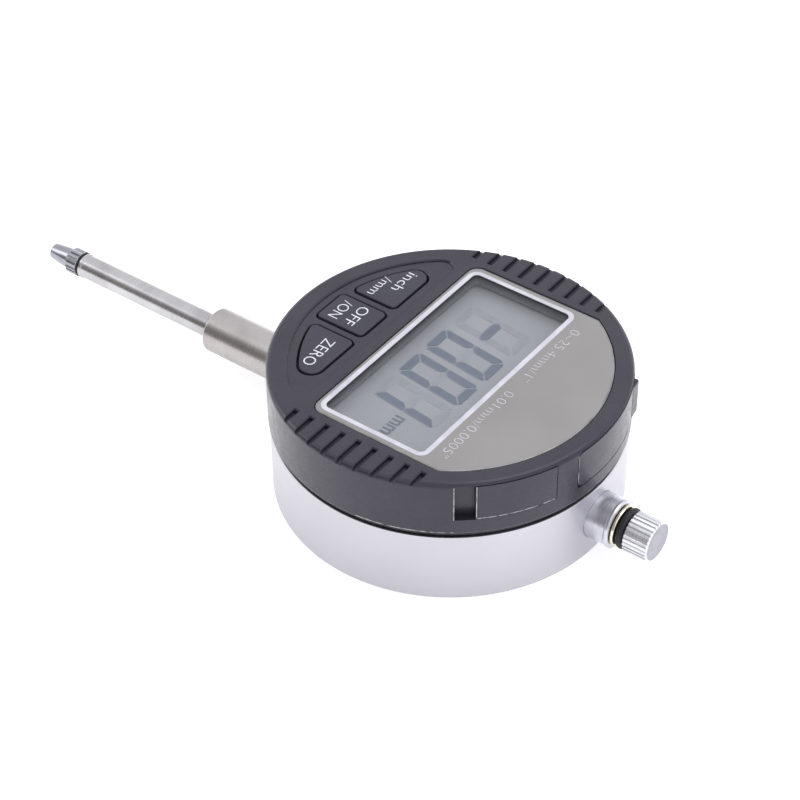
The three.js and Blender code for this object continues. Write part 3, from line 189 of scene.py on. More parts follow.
def lathe(profile, steps=LATHE_STEPS):
    """Turns (radius, height) points about Z. The profile closes on itself or ends on the axis."""
    closed = profile[0] == profile[-1]
    points = profile[:-1] if closed else profile
    vertices, rows = [], []
    for radius, height in points:
        start = len(vertices)
        if radius == 0:
            vertices.append((0, 0, height))
            rows.append([start] * steps)
        else:
            vertices += [(*polar(radius, 360 * i / steps), height) for i in range(steps)]
            rows.append(list(range(start, start + steps)))
    faces = []
    pairs = list(zip(rows, rows[1:] + rows[:1])) if closed else list(zip(rows, rows[1:]))
    for low, high in pairs:
        for i in range(steps):
            j = (i + 1) % steps
            corners = [low[i], low[j], high[j], high[i]]
            corners = [c for k, c in enumerate(corners) if c != corners[k - 1]]
            faces.append(corners)
    return solid(vertices, faces)


def box(x0, x1, y0, y1, z0, z1):
    corners = [(x0, y0), (x1, y0), (x1, y1), (x0, y1)]
    return loft([[(x, y, z) for x, y in corners] for z in (z0, z1)])


def tube(inner, outer, z0, z1, steps=LATHE_STEPS):
    return lathe([(inner, z0), (outer, z0), (outer, z1), (inner, z1), (inner, z0)], steps)


def rod(radius, z0, z1, steps=SMALL_STEPS):
    return lathe([(0, z0), (radius, z0), (radius, z1), (0, z1)], steps)


def moved(item, matrix):
    item.data.transform(matrix)
    return item


def turned_about_z(item, degrees):
    return moved(item, Matrix.Rotation(math.radians(degrees), 4, "Z"))


def on_spindle(item):
    """Lays a shape turned about Z along the spindle line."""
    lay = Matrix.Rotation(math.radians(-90), 4, "X")
    return moved(item, Matrix.Translation((0, 0, AXIS_Z)) @ lay)


def at(item, x, y):
    return moved(item, Matrix.Translation((x, y, 0)))


def bake(item):
    """Applies an object's modifiers to its mesh."""
    graph = bpy.context.evaluated_depsgraph_get()
    mesh = bpy.data.meshes.new_from_object(item.evaluated_get(graph))
    old = item.data
    item.modifiers.clear()
    item.data = mesh
    bpy.data.meshes.remove(old)
    return item


def combine(body, tools, operation):
    for tool in tools:
        step = body.modifiers.new(operation.lower(), "BOOLEAN")
        step.operation = operation
        step.solver = "MANIFOLD"
        step.object = tool
    bake(body)
    for tool in tools:
        bpy.data.objects.remove(tool)
    return body


def cut(body, *tools):
    return combine(body, tools, "DIFFERENCE")


def join(body, *tools):
    return combine(body, tools, "UNION")


def keep_inside(body, tool):
    return combine(body, [tool], "INTERSECT")


def soften(item, width):
    """Rounds the sharp edges."""
    step = item.modifiers.new("soften", "BEVEL")
    step.width = width
    step.segments = 2
    step.limit_method = "ANGLE"
    step.angle_limit = math.radians(35)
    step.miter_outer = "MITER_ARC"
    return bake(item)


def piece(item, name, body, material, replaces=(), smooth=32):
    """Turns a shape in millimetres into a finished piece on its body."""
    mesh = item.data
    mesh.transform(Matrix.Scale(MM, 4))
    item.name = name
    mesh.name = name
    mesh.materials.clear()
    mesh.materials.append(material)
    mesh.shade_smooth()
    mesh.set_sharp_from_angle(angle=math.radians(smooth))
    weighted = item.modifiers.new("normals", "WEIGHTED_NORMAL")
    weighted.keep_sharp = True
    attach(item, body)
    if replaces:
        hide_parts(*replaces)
    return item


# ------------------------------------------------------------------ materials

class Finish:
    """A Principled material whose colour, roughness and relief vary in the row frame."""

    def __init__(self, name, metallic=0.0, **sockets):
        self.material = bpy.data.materials.new(name)
        self.material.use_nodes = True
        self.nodes = self.material.node_tree.nodes
        self.links = self.material.node_tree.links
        self.shader = self.nodes["Principled BSDF"]
        self.shader.inputs["Metallic"].default_value = metallic
        for socket, value in sockets.items():
            self.shader.inputs[socket.replace("_", " ")].default_value = value
        self.place = self.nodes.new("ShaderNodeTexCoord").outputs["Object"]
        self.relief = None

    def noise(self, size, stretch=(1, 1, 1), detail=3.0, offset=0.0):
        """Noise whose grain is size millimetres, squeezed along each axis by stretch."""
        mapping = self.nodes.new("ShaderNodeMapping")
        mapping.inputs["Scale"].default_value = stretch
        mapping.inputs["Location"].default_value = (offset, offset, offset)
        self.links.new(self.place, mapping.inputs["Vector"])
        noise = self.nodes.new("ShaderNodeTexNoise")
        noise.inputs["Scale"].default_value = 1 / (size * MM)
        noise.inputs["Detail"].default_value = detail
        self.links.new(mapping.outputs["Vector"], noise.inputs["Vector"])
        return noise.outputs["Fac"]

    def height(self, low, high):
        """Climbs from 0 to 1 between two levels, in millimetres."""
        split = self.nodes.new("ShaderNodeSeparateXYZ")
        self.links.new(self.place, split.inputs["Vector"])
        return self.ramp(split.outputs["Z"], 0, 1, low * MM, high * MM)

    def ramp(self, value, low, high, start=0.35, end=0.65):
        """Maps a value between start and end onto low to high."""
        node = self.nodes.new("ShaderNodeMapRange")
        for socket, number in (("From Min", start), ("From Max", end), ("To Min", low), ("To Max", high)):
            node.inputs[socket].default_value = number
        self.links.new(value, node.inputs["Value"])
        return node.outputs["Result"]

    def color(self, dark, light, value, start=0.35, end=0.65):
        mix = self.nodes.new("ShaderNodeMix")
        mix.data_type = "RGBA"
        mix.inputs["A"].default_value = (*dark, 1)
        mix.inputs["B"].default_value = (*light, 1)
        self.links.new(self.ramp(value, 0, 1, start, end), mix.inputs["Factor"])
        self.links.new(mix.outputs["Result"], self.shader.inputs["Base Color"])
        return self

    def roughness(self, low, high, value):
        self.links.new(self.ramp(value, low, high), self.shader.inputs["Roughness"])
        return self

    def bump(self, value, height, strength=1.0):
        """Raises the surface by up to height millimetres."""
        node = self.nodes.new("ShaderNodeBump")
        node.inputs["Distance"].default_value = height * MM
        node.inputs["Strength"].default_value = strength
        self.links.new(value, node.inputs["Height"])
        if self.relief is not None:
            self.links.new(self.relief, node.inputs["Normal"])
        self.relief = node.outputs["Normal"]
        self.links.new(self.relief, self.shader.inputs["Normal"])
        return self


def moulded_plastic(name, dark, light, low, high, grain=0.22):
    """Plastic with a fine moulded grain over a slow waviness."""
    finish = Finish(name, IOR=1.47, Specular_Tint=(0.90, 0.88, 1.0, 1))
    finish.color(dark, light, finish.noise(9, detail=4))
    finish.roughness(low, high, finish.noise(1.6, detail=5, offset=3))
    finish.bump(finish.noise(grain, detail=2), 0.006, 0.25)
    return finish.bump(finish.noise(14, detail=1, offset=5), 0.02, 0.5).material


TOOL_MARK = 1.44  # grain of the tool marks, before it is stretched


def turned_metal(name, dark, light, low, high, stretch, patch=6, relief=0.002):
    """Metal with tool marks: stretch is large along the axis that the lines stack on."""
    finish = Finish(name, metallic=1.0)
    finish.color(dark, light, finish.noise(patch, detail=5))
    finish.roughness(low, high, finish.noise(TOOL_MARK, stretch, detail=4, offset=2))
    finish.bump(finish.noise(TOOL_MARK, stretch, detail=2), relief, 0.35)
    return finish.bump(finish.noise(0.9, detail=3, offset=7), 0.0015, 0.35).material


ALONG_Z = (0.15, 0.15, 12)
ALONG_Y = (0.15, 12, 0.15)
EVERY_WAY = (1, 1, 1)

CASE_METAL = turned_metal(
    "case_aluminium", (0.485, 0.478, 0.515), (0.525, 0.518, 0.555), 0.34, 0.42, ALONG_Z, patch=30)
BOSS_METAL = turned_metal("boss_aluminium", (0.50, 0.50, 0.55), (0.72, 0.72, 0.78), 0.26, 0.36, ALONG_Y)
STEM_METAL = turned_metal("stem_steel", (0.375, 0.348, 0.345), (0.45, 0.425, 0.42), 0.24, 0.32, ALONG_Y)
SPINDLE_METAL = turned_metal("spindle_steel", (0.41, 0.40, 0.41), (0.51, 0.50, 0.51), 0.20, 0.28, ALONG_Y)
TIP_METAL = turned_metal("contact_steel", (0.25, 0.255, 0.285), (0.33, 0.335, 0.37), 0.16, 0.24, ALONG_Y)
KNOB_METAL = turned_metal("knob_aluminium", (0.68, 0.68, 0.72), (0.80, 0.80, 0.84), 0.26, 0.36, ALONG_Y)
FACE_METAL = turned_metal("knob_face", (0.28, 0.28, 0.325), (0.34, 0.34, 0.385), 0.30, 0.42, EVERY_WAY)
RING_METAL = turned_metal("ring_brass", (0.78, 0.70, 0.58), (0.86, 0.79, 0.68), 0.08, 0.16, ALONG_Y)
SCREW_METAL = turned_metal("screw_steel", (0.42, 0.42, 0.44), (0.56, 0.56, 0.58), 0.22, 0.36, EVERY_WAY)
CELL_METAL = turned_metal(
    "cell_steel", (0.66, 0.66, 0.67), (0.76, 0.76, 0.77), 0.2, 0.3, EVERY_WAY, relief=0.0006)
HOUSING_PLASTIC = moulded_plastic(
    "housing_plastic", (0.022, 0.021, 0.031), (0.028, 0.027, 0.038), 0.24, 0.32)
BUTTON_PLASTIC = moulded_plastic(
    "button_plastic", (0.024, 0.023, 0.034), (0.030, 0.029, 0.041), 0.26, 0.36, grain=0.18)
BLACK_PLASTIC = moulded_plastic("black_plastic", (0.012, 0.012, 0.014), (0.02, 0.02, 0.023), 0.4, 0.55)
WHITE_PLASTIC = moulded_plastic("white_plastic", (0.70, 0.69, 0.66), (0.78, 0.77, 0.74), 0.4, 0.5)
RUBBER = moulded_plastic("rubber", (0.008, 0.008, 0.009), (0.016, 0.016, 0.018), 0.5, 0.7, grain=0.3)
BOARD = moulded_plastic("circuit_board", (0.010, 0.07, 0.035), (0.016, 0.10, 0.05), 0.3, 0.45)
CHIP = moulded_plastic("chip", (0.012, 0.012, 0.012), (0.02, 0.02, 0.02), 0.5, 0.65)
FILM = moulded_plastic("polyimide_film", (0.36, 0.16, 0.03), (0.45, 0.21, 0.05), 0.25, 0.35)


def edge_highlight_material():
    """Painted highlight: a pale edge on the dark plastic where it catches light, broken up along its length.
    """
    finish = Finish("painted_edge_highlight", IOR=1.52)
    finish.color((0.03, 0.03, 0.036), (0.42, 0.42, 0.44), finish.noise(1.1, detail=4, offset=4), 0.36, 0.56)
    finish.roughness(0.3, 0.5, finish.noise(0.5))
    return finish.bump(finish.noise(0.3, detail=2), 0.02, 0.6).material


def lens_print_material():
    """Print seen through the clear lens: a dusty satin colour under a glossy coat."""
    finish = Finish("lens_print", Coat_Weight=0.5, Coat_Roughness=0.06, Coat_IOR=1.49)
    finish.color((0.205, 0.195, 0.195), (0.232, 0.221, 0.220), finish.noise(16, detail=2))
    finish.roughness(0.38, 0.5, finish.noise(0.6, detail=3))
    return finish.bump(finish.noise(0.25, detail=2), 0.002, 0.3).material


def lens_edge_material():
    finish = Finish("lens_edge", Coat_Weight=0.6, Coat_Roughness=0.05)
    finish.color((0.14, 0.135, 0.14), (0.24, 0.23, 0.235), finish.noise(3, detail=3))
    return finish.roughness(0.12, 0.22, finish.noise(0.8)).material


def print_material(name, dark, light):
    finish = Finish(name, Coat_Weight=0.3, Coat_Roughness=0.1)
    finish.color(dark, light, finish.noise(2.5, detail=3))
    return finish.roughness(0.3, 0.42, finish.noise(0.5)).material


def painted_shade_liner_material():
    """Edge of the tinted window: dark at the top, fading with painted shade into the colour of the display
    below it.
    """
    finish = Finish("window_liner_painted_shade", Specular_IOR_Level=0.15)
    # Painted shade: the wall runs from the display's colour at the bottom to near black towards the top.
    shade_fade = finish.height(LCD_HIGH.z, LENS_HIGH.z)
    finish.color((0.205, 0.218, 0.242), (0.030, 0.029, 0.042), shade_fade, 0, 0.85)
    return finish.roughness(0.75, 0.9, finish.noise(1)).material


def lcd_material():
    """Reflective display: grey-green with a fine sparkle in the polariser."""
    finish = Finish("lcd_surface", Coat_Weight=0.15, Coat_Roughness=0.2)
    finish.color((0.222, 0.238, 0.260), (0.248, 0.264, 0.286), finish.noise(14, detail=2))
    finish.roughness(0.42, 0.5, finish.noise(0.5, detail=2))
    return finish.bump(finish.noise(0.6, detail=1), 0.002, 0.1).material


def segment_material(name, color):
    finish = Finish(name)
    finish.color([c * 0.94 for c in color], [c * 1.05 for c in color], finish.noise(1.5, detail=3))
    return finish.roughness(0.45, 0.6, finish.noise(0.2)).material


def pane_material():
    """Clear pane: straight through, with a faint reflection that grows towards grazing."""
    material = bpy.data.materials.new("lens_pane")
    material.use_nodes = True
    nodes, links = material.node_tree.nodes, material.node_tree.links
    nodes.remove(nodes["Principled BSDF"])
    clear = nodes.new("ShaderNodeBsdfTransparent")
    gloss = nodes.new("ShaderNodeBsdfGlossy")
    facing = nodes.new("ShaderNodeLayerWeight")
    share = nodes.new("ShaderNodeMapRange")
    share.inputs["To Min"].default_value = 0.01
    share.inputs["To Max"].default_value = 0.05
    coordinates = nodes.new("ShaderNodeTexCoord")
    smudge = nodes.new("ShaderNodeTexNoise")
    smudge.inputs["Scale"].default_value = 220
    spread = nodes.new("ShaderNodeMapRange")
    spread.inputs["To Min"].default_value = 0.03
    spread.inputs["To Max"].default_value = 0.09
    links.new(coordinates.outputs["Object"], smudge.inputs["Vector"])
    links.new(smudge.outputs["Fac"], spread.inputs["Value"])
    links.new(spread.outputs["Result"], gloss.inputs["Roughness"])
    links.new(facing.outputs["Facing"], share.inputs["Value"])
    mix = nodes.new("ShaderNodeMixShader")
    links.new(share.outputs["Result"], mix.inputs["Fac"])
    links.new(clear.outputs["BSDF"], mix.inputs[1])
    links.new(gloss.outputs["BSDF"], mix.inputs[2])
    links.new(mix.outputs["Shader"], nodes["Material Output"].inputs["Surface"])
    return material


EDGE_HIGHLIGHT = edge_highlight_material()
LENS_PRINT = lens_print_material()
LENS_EDGE = lens_edge_material()
WHITE_PRINT = print_material("white_print", (0.46, 0.46, 0.52), (0.56, 0.56, 0.62))
BUTTON_PRINT = print_material("button_print", (0.62, 0.62, 0.66), (0.76, 0.76, 0.80))
PAINTED_SHADE_LINER = painted_shade_liner_material()
LCD_SURFACE = lcd_material()
SEGMENT_ON = segment_material("segment_on", (0.092, 0.114, 0.156))
# Painted shadow that the lit segments cast on the display's reflector.
SEGMENT_PAINTED_SHADOW = segment_material("segment_painted_shadow", (0.186, 0.204, 0.234))
SEGMENT_OFF = segment_material("segment_off", (0.210, 0.226, 0.250))
PANE = pane_material()


# ------------------------------------------------------------------ case

def screw_places(node_prefix, count):
    for i in range(1, count + 1):
        low, high = span(f"{node_prefix}_{i}")
        yield i, (low.x + high.x) / 2, (low.y + high.y) / 2, low.z, high.z


def slotted_screw(low, high, head_radius=1.6, head=0.8, thread=0.8):
    """Pan head with a rounded edge and a slot, head down."""
    body = lathe([
        (0, low), (head_radius - 0.25, low), (head_radius - 0.07, low + 0.07), (head_radius, low + 0.25),
        (head_radius, low + head), (thread, low + head), (thread, high - 0.3), (thread - 0.3, high),
        (0, high),
    ], SMALL_STEPS)
    return cut(body, box(-head_radius - 1, head_radius + 1, -0.25, 0.25, low - 1, low + 0.35))


def build_case():
    web = CASE_HIGH.z - 1.4
    wall = CASE_RADIUS - 2.2
    bore = 6.5
    shell = lathe([
        (bore, web), (wall, web), (wall, 0), (CASE_RADIUS - 0.45, 0), (CASE_RADIUS - 0.15, 0.08),
        (CASE_RADIUS, 0.4), (CASE_RADIUS, CASE_HIGH.z - 0.35), (CASE_RADIUS - 0.1, CASE_HIGH.z - 0.1),
        (CASE_RADIUS - 0.35, CASE_HIGH.z), (bore, CASE_HIGH.z), (bore, web),
    ])
    cut(
        shell,
        on_spindle(rod(STEM_RADIUS + 0.05, -CASE_RADIUS - 2, -10, SHAFT_STEPS)),
        on_spindle(rod(BOSS_RADIUS + 0.05, 10, CASE_RADIUS + 2, SHAFT_STEPS)),
    )
    piece(shell, "case_shell", "case", CASE_METAL, ["rear_case"])

    plate = lathe([
        (0, 0), (BACK_HIGH.x - 0.2, 0), (BACK_HIGH.x, 0.2), (BACK_HIGH.x, BACK_HIGH.z), (0, BACK_HIGH.z),
    ])
    holes = []
    for i, x, y, low, high in screw_places("back_screw", 4):
        holes.append(at(lathe([
            (0, -1), (2.6, -1), (1.8, 0.15), (1.8, 0.9), (1.0, 0.9), (1.0, 3), (0, 3),
        ], SMALL_STEPS), x, y))
        body = at(slotted_screw(low, high), x, y)
        piece(body, f"back_fastener_{i}", "case", SCREW_METAL, [f"back_screw_{i}"])
    piece(cut(plate, *holes), "back_cover", "case", CASE_METAL, ["back_plate"])


def flanged(points):
    return on_spindle(lathe(points, SHAFT_STEPS))


def build_stem_and_boss():
    bore = 3.1
    radius = STEM_RADIUS
    flange = STEM_HIGH.x
    end = STEM_LOW.y
    stem = flanged([
        (bore, end + 0.1), (bore + 0.1, end), (radius - STEM_CHAMFER - 0.08, end),
        (radius - STEM_CHAMFER + 0.04, end + 0.05), (radius - 0.05, end + STEM_CHAMFER - 0.04),
        (radius, end + STEM_CHAMFER + 0.1), (radius, STEM_HIGH.y - 1.3), (flange, STEM_HIGH.y - 1.3),
        (flange, STEM_HIGH.y), (bore, STEM_HIGH.y), (bore, end + 0.1),
    ])
    piece(stem, "stem_tube", "case", STEM_METAL, ["stem"])
    bush = flanged([
        (2.25, BUSH_LOW.y + 0.15), (2.4, BUSH_LOW.y), (2.85, BUSH_LOW.y), (3.0, BUSH_LOW.y + 0.12),
        (3.0, BUSH_HIGH.y), (2.25, BUSH_HIGH.y), (2.25, BUSH_LOW.y + 0.15),
    ])
    piece(bush, "stem_bush", "case", STEM_METAL, ["lower_bush"])
    radius = BOSS_RADIUS
    collar = 4.2
    end = BOSS_HIGH.y
    boss = flanged([
        (bore, BOSS_LOW.y), (flange, BOSS_LOW.y), (flange, BOSS_LOW.y + 1.3), (radius, BOSS_LOW.y + 1.3),
        (radius, end - 0.85), (radius + 0.02, end - 0.78), (collar - 0.03, end - 0.68), (collar, end - 0.6),
        (collar, end - 0.22), (collar - 0.07, end - 0.08), (collar - 0.22, end), (bore + 0.1, end),
        (bore, end - 0.1), (bore, BOSS_LOW.y),
    ])
    piece(boss, "boss_sleeve", "case", BOSS_METAL, ["upper_boss"])


# ------------------------------------------------------------------ spindle

def star(radius, depth, count, flat):
    """Outline with flutes, as a function of how far it is grown. flat is the crest's share."""
    def outline(grow):
        points = []
        for i in range(count):
            middle = 360 / count * i
            half = 180 / count
            for share, r in ((-flat, radius), (flat, radius), (1, radius - depth)):
                points.append(polar(min(r, radius + grow), middle + share * half))
        return points
    return outline


def build_spindle():
    end = SPINDLE_LOW.y
    radius, thread, bore = SHAFT_RADIUS, THREAD_RADIUS, THREAD_BORE
    rod_body = flanged([
        (0, end + 4.8), (bore, end + 4.8), (bore, end), (radius - 0.1, end), (radius + 0.1, end + 0.12),
        (radius + 0.1, end + 0.6), (radius, end + 0.7), (radius, BOSS_HIGH.y), (thread, BOSS_HIGH.y),
        (thread, SPINDLE_HIGH.y), (0, SPINDLE_HIGH.y),
    ])
    piece(rod_body, "spindle_rod", "spindle_group", SPINDLE_METAL, ["spindle"])

    shoulder = TIP_LOW.y + 4.4
    collar_end = WASHER_LOW.y - 0.1
    collar = star(2.35, TIP_FLUTE_DEPTH, TIP_FLUTES, 0.45)
    tip = join(
        on_spindle(stack(collar, [(-0.32, shoulder), (0, shoulder + 0.35), (0, collar_end - 0.1),
                                  (-0.1, collar_end)])),
        on_spindle(lathe([
            (0, TIP_LOW.y), (0.95, TIP_LOW.y), (1.25, TIP_LOW.y + 0.08), (1.42, TIP_LOW.y + 0.25),
            (1.52, TIP_LOW.y + 0.55), (1.95, shoulder + 0.05), (1.95, shoulder + 0.3), (0, shoulder + 0.3),
        ], SHAFT_STEPS)),
        on_spindle(rod(thread, collar_end - 0.1, TIP_HIGH.y)),
    )
    piece(tip, "contact_tip", "spindle_group", TIP_METAL, ["contact_point"], smooth=22)

    def band(low, high, outer, edge):
        return flanged([
            (bore, low), (outer - edge, low), (outer - edge * 0.3, low + edge * 0.3), (outer, low + edge),
            (outer, high - edge), (outer - edge * 0.3, high - edge * 0.3), (outer - edge, high),
            (bore, high), (bore, low),
        ])

    piece(band(WASHER_LOW.y, WASHER_HIGH.y, 2.25, 0.08), "tip_washer", "spindle_group", RUBBER,
          ["contact_washer"])
    piece(band(RING_LOW.y, RING_HIGH.y, 3.65, 0.16), "gold_ring", "spindle_group",
          RING_METAL, ["knob_ring"])

    middle = (O_RING_LOW.y + O_RING_HIGH.y) / 2
    thick = (O_RING_HIGH.y - O_RING_LOW.y) / 2
    section = [(bore, middle - thick)]
    section += [(3.5 - thick + r, middle + h) for r, h in arc(0, 0, thick, -90, 90, 14)]
    section += [(bore, middle + thick), (bore, middle - thick)]
    piece(flanged(section), "o_ring", "spindle_group", RUBBER, ["knob_o_ring"])

    knurl = star(KNOB_HIGH.x, KNOB_FLUTE_DEPTH, KNOB_FLUTES, 0.5)
    low, high = KNOB_LOW.y, KNOB_HIGH.y
    knob = cut(
        on_spindle(stack(knurl, [(-0.3, low), (0, low + 0.2), (0, high - 0.25), (-0.38, high - 0.03)])),
        on_spindle(rod(bore, low - 1, low + 3.5)),
    )
    piece(knob, "knurled_knob", "spindle_group", KNOB_METAL, ["lifting_knob"], smooth=20)
    face = flanged([(0, high - 0.2), (3.14, high - 0.2), (3.14, high - 0.01), (3.13, high), (0, high)])
    piece(face, "knob_face", "spindle_group", FACE_METAL)


# ------------------------------------------------------------------ display housing

def lens_outline(grow):
    radius = LENS_RADIUS + grow
    half = LENS_HIGH.x + grow
    bottom = LENS_LOW.y - grow
    corner = LENS_CORNER + grow
    meet = math.degrees(math.acos(half / radius))
    return (
        arc(0, 0, radius, meet, 180 - meet, 96)
        + arc(-half + corner, bottom + corner, corner, 180, 270, 10)
        + arc(half - corner, bottom + corner, corner, 270, 360, 10)
    )


def rounded_rectangle(half_width, half_height, corner, x=0, y=0, steps=8):
    def outline(grow):
        w, h, r = half_width + grow, half_height + grow, max(corner + grow, 0.05)
        return (
            arc(x + w - r, y + h - r, r, 0, 90, steps) + arc(x - w + r, y + h - r, r, 90, 180, steps)
            + arc(x - w + r, y - h + r, r, 180, 270, steps) + arc(x + w - r, y - h + r, r, 270, 360, steps)
        )
    return outline


def panel_outline(grow):
    """Button panel: an arc towards the stem, a straight side towards the lens."""
    radius = PANEL_RADIUS + grow
    corner = PANEL_CORNER + grow
    y = PANEL_TOP + grow - corner
    x = math.sqrt((radius - corner) ** 2 - y ** 2)
    meet = math.degrees(math.atan2(y, x))
    return (
        arc(x, y, corner, 90, meet, 12)
        + arc(0, 0, radius, meet, -180 - meet, 72)
        + arc(-x, y, corner, -180 - meet, -270, 12)
    )


def side_button_outline(side):
    def outline(grow):
        radius = BUTTON_RADIUS + grow
        top = BUTTON_TOP + grow
        nose, corner = SIDE_BUTTON_NOSE + grow, BUTTON_CORNER + grow
        foot_x = SIDE_BUTTON_START - grow + corner
        foot_y = -math.sqrt((radius - corner) ** 2 - foot_x ** 2)
        nose_y = top - nose
        nose_x = math.sqrt((radius - nose) ** 2 - nose_y ** 2)
        nose_meet = math.degrees(math.atan2(nose_y, nose_x))
        foot_meet = math.degrees(math.atan2(foot_y, foot_x))
        points = (
            arc(foot_x, top - corner, corner, 180, 90, 8)
            + arc(nose_x, nose_y, nose, 90, nose_meet, 14)
            + arc(0, 0, radius, nose_meet, foot_meet, 20)
            + arc(foot_x, foot_y, corner, foot_meet, -180, 8)
        )
        return [(side * x, y) for x, y in points]
    return outline


POWER_Y = (BUTTON_TOP + POWER_BOTTOM) / 2
BUTTONS = {
    "unit": side_button_outline(-1),
    "power": rounded_rectangle(POWER_HALF_WIDTH, (BUTTON_TOP - POWER_BOTTOM) / 2, BUTTON_CORNER, 0, POWER_Y),
    "zero": side_button_outline(1),
}


def opening(outline, floor, face, edge):
    """Cutter that goes down from a face to a floor, with a chamfer where it meets the face."""
    return stack(outline, [(0, floor), (0, face - edge), (edge, face), (edge + 1, face + 1)])


def grip_cutters(y, side):
    """A slot across the rim, and a wedge that chamfers its edges along the rim's own curve."""
    half = GRIP_WIDTH / 2
    floor = TOP - GRIP_DEPTH
    centre_x, centre_z = RADIUS - RIM, TOP - RIM
    last = math.degrees(math.asin((floor - centre_z) / RIM))
    loops = []
    for step in range(-1, 9):
        normal = Vector(polar(1, 90 if step < 0 else 90 + (last - 90) * step / 8))
        loop = []
        for reach, across in ((0.4, -1), (-GRIP_BEVEL, -1), (-GRIP_BEVEL, 1), (0.4, 1)):
            x = centre_x if step >= 0 else GRIP_START - GRIP_BEVEL - reach
            foot = Vector((x, centre_z)) + normal * (RIM + reach)
            width = half + GRIP_BEVEL + reach
            loop.append((side * foot.x, y + across * width, foot.y))
        loops.append(loop)
    ends = sorted((side * GRIP_START, side * (RADIUS + 1)))
    return [loft(loops), box(*ends, y - half, y + half, floor, TOP + 0.3)]


def radial_prism(angle, half_width, z0, z1, corner, r0, r1):
    """A rounded rectangle in the side wall, pushed straight through it."""
    height = (z1 - z0) / 2
    outline = rounded_rectangle(half_width, height, corner, 0, (z0 + z1) / 2, 6)(0)
    body = loft([[(r, s, z) for s, z in outline] for r in (r0, r1)])
    return turned_about_z(body, angle)


def sector(inner, outer, start, end, z0, z1, steps=24):
    """A piece of a tube between two angles in degrees."""
    outline = arc(0, 0, outer, start, end, steps) + arc(0, 0, inner, end, start, steps)
    return loft([[(x, y, z) for x, y in outline] for z in (z0, z1)])


def build_housing():
    inner = RADIUS - HOUSING_WALL
    bottom = HOUSING_LOW.z
    rim = arc(RADIUS - RIM, TOP - RIM, RIM, 0, 66, 12)
    shell = lathe([
        (0, ROOF_BOTTOM), (inner, ROOF_BOTTOM), (inner, bottom + 0.2), (inner + 0.2, bottom),
        (RADIUS - 0.3, bottom), (RADIUS - 0.08, bottom + 0.08), (RADIUS, bottom + 0.3),
        *rim, (RADIUS - RIM + 0.2, TOP), (0, TOP),
    ])
    above = TOP + 1
    cover_low, cover_high = DRAWER_LOW.z, DRAWER_HIGH.z
    tools = [
        opening(lambda grow: lens_outline(grow + GAP), LENS_SEAT, TOP, 0.1),
        stack(rounded_rectangle(*WINDOW), [(0, ROOF_BOTTOM - 1), (0, above)]),
        opening(panel_outline, PANEL_FACE, TOP, 0.22),
        *(opening(lambda grow, o=outline: o(grow + BUTTON_GAP), ROOF_BOTTOM - 1, PANEL_FACE, 0.1)
          for outline in BUTTONS.values()),
        radial_prism(
            DRAWER_ANGLE, DRAWER_HALF_WIDTH + 0.2, cover_low - 0.2, CELL_HIGH.z + 0.2, 0.05, 17, RADIUS),
        keep_inside(
            tube(inner - 0.01, RADIUS + 2, cover_low - 1, cover_high + 0.15),
            radial_prism(DRAWER_ANGLE, COVER_HALF_WIDTH + 0.15, cover_low - 0.15, cover_high + 0.15,
                         COVER_CORNER + 0.15, 10, RADIUS + 3),
        ),
        sector(RADIUS - PORT_THICKNESS - 0.15, RADIUS + 2, PORT_ANGLE - PORT_HALF_ANGLE - POCKET_ANGLE,
               PORT_ANGLE + PORT_HALF_ANGLE + 0.25, PORT_LOW.z - GAP, PORT_HIGH.z + GAP),
        radial_prism(PORT_ANGLE, PLUG_HALF_WIDTH + 0.2, PORT_LOW.z + 0.4, ROOF_BOTTOM - 0.1, 0.2, 22, RADIUS),
    ]
    for i in range(GRIPS):
        y = (i - (GRIPS - 1) / 2) * GRIP_PITCH
        tools += grip_cutters(y, 1)
        tools += grip_cutters(y, -1)
    cut(shell, *tools)
    piece(shell, "housing_shell", "display_unit", HOUSING_PLASTIC, ["display_housing"],
          smooth=18)

    low, high = SEAL_LOW.z, SEAL_HIGH.z
    inside, outside, edge = SEAL_HIGH.x - 1.2, SEAL_HIGH.x, 0.15
    seal = lathe([
        (inside, low), (outside - edge, low), (outside, low + edge), (outside, high - edge),
        (outside - edge, high), (inside, high), (inside, low),
    ])
    piece(seal, "seam_seal", "display_unit", RUBBER, ["swivel_ring"])


# ------------------------------------------------------------------ lens and display

def thin_ring(outer, inner, z0, z1):
    """A flat frame between two outlines."""
    body = stack(outer, [(0, z0), (0, z1)])
    return cut(body, stack(inner, [(0, z0 - 1), (0, z1 + 1)]))


def build_lens():
    low, high = LENS_LOW.z, LENS_HIGH.z
    window = rounded_rectangle(*WINDOW)
    print_top = high - 0.02
    body = cut(
        stack(lens_outline, [(-LENS_BEVEL, low), (-LENS_BEVEL, print_top)]),
        stack(window, [(0, low - 1), (0, print_top + 1)]),
    )
    piece(body, "lens_print", "display_unit", LENS_PRINT, ["lens"])
    edge = cut(
        stack(lens_outline, [(0, low), (0, high - 0.22), (-0.07, high - 0.07), (-LENS_BEVEL + 0.04, high)]),
        stack(lens_outline, [(-LENS_BEVEL, low - 1), (-LENS_BEVEL, high + 1)]),
    )
    piece(edge, "lens_edge", "display_unit", LENS_EDGE)
    # The window's walls, carrying painted shade that fades onto the display.
    liner = cut(
        stack(window, [(0.02, ROOF_BOTTOM + 0.02), (0.02, print_top - 0.03)]),
        stack(window, [(-0.03, ROOF_BOTTOM - 1), (-0.03, high)]),
    )
    piece(liner, "window_liner_painted_shade", "display_unit", PAINTED_SHADE_LINER)
    line = thin_ring(rounded_rectangle(*FRAME_LINE), window, print_top - 0.2, print_top + 0.01)
    piece(line, "frame_line", "display_unit", WHITE_PRINT)
    pane = stack(window, [(-0.01, high - 0.3), (-0.01, high - 0.01)])
    piece(pane, "lens_window", "display_unit", PANE)


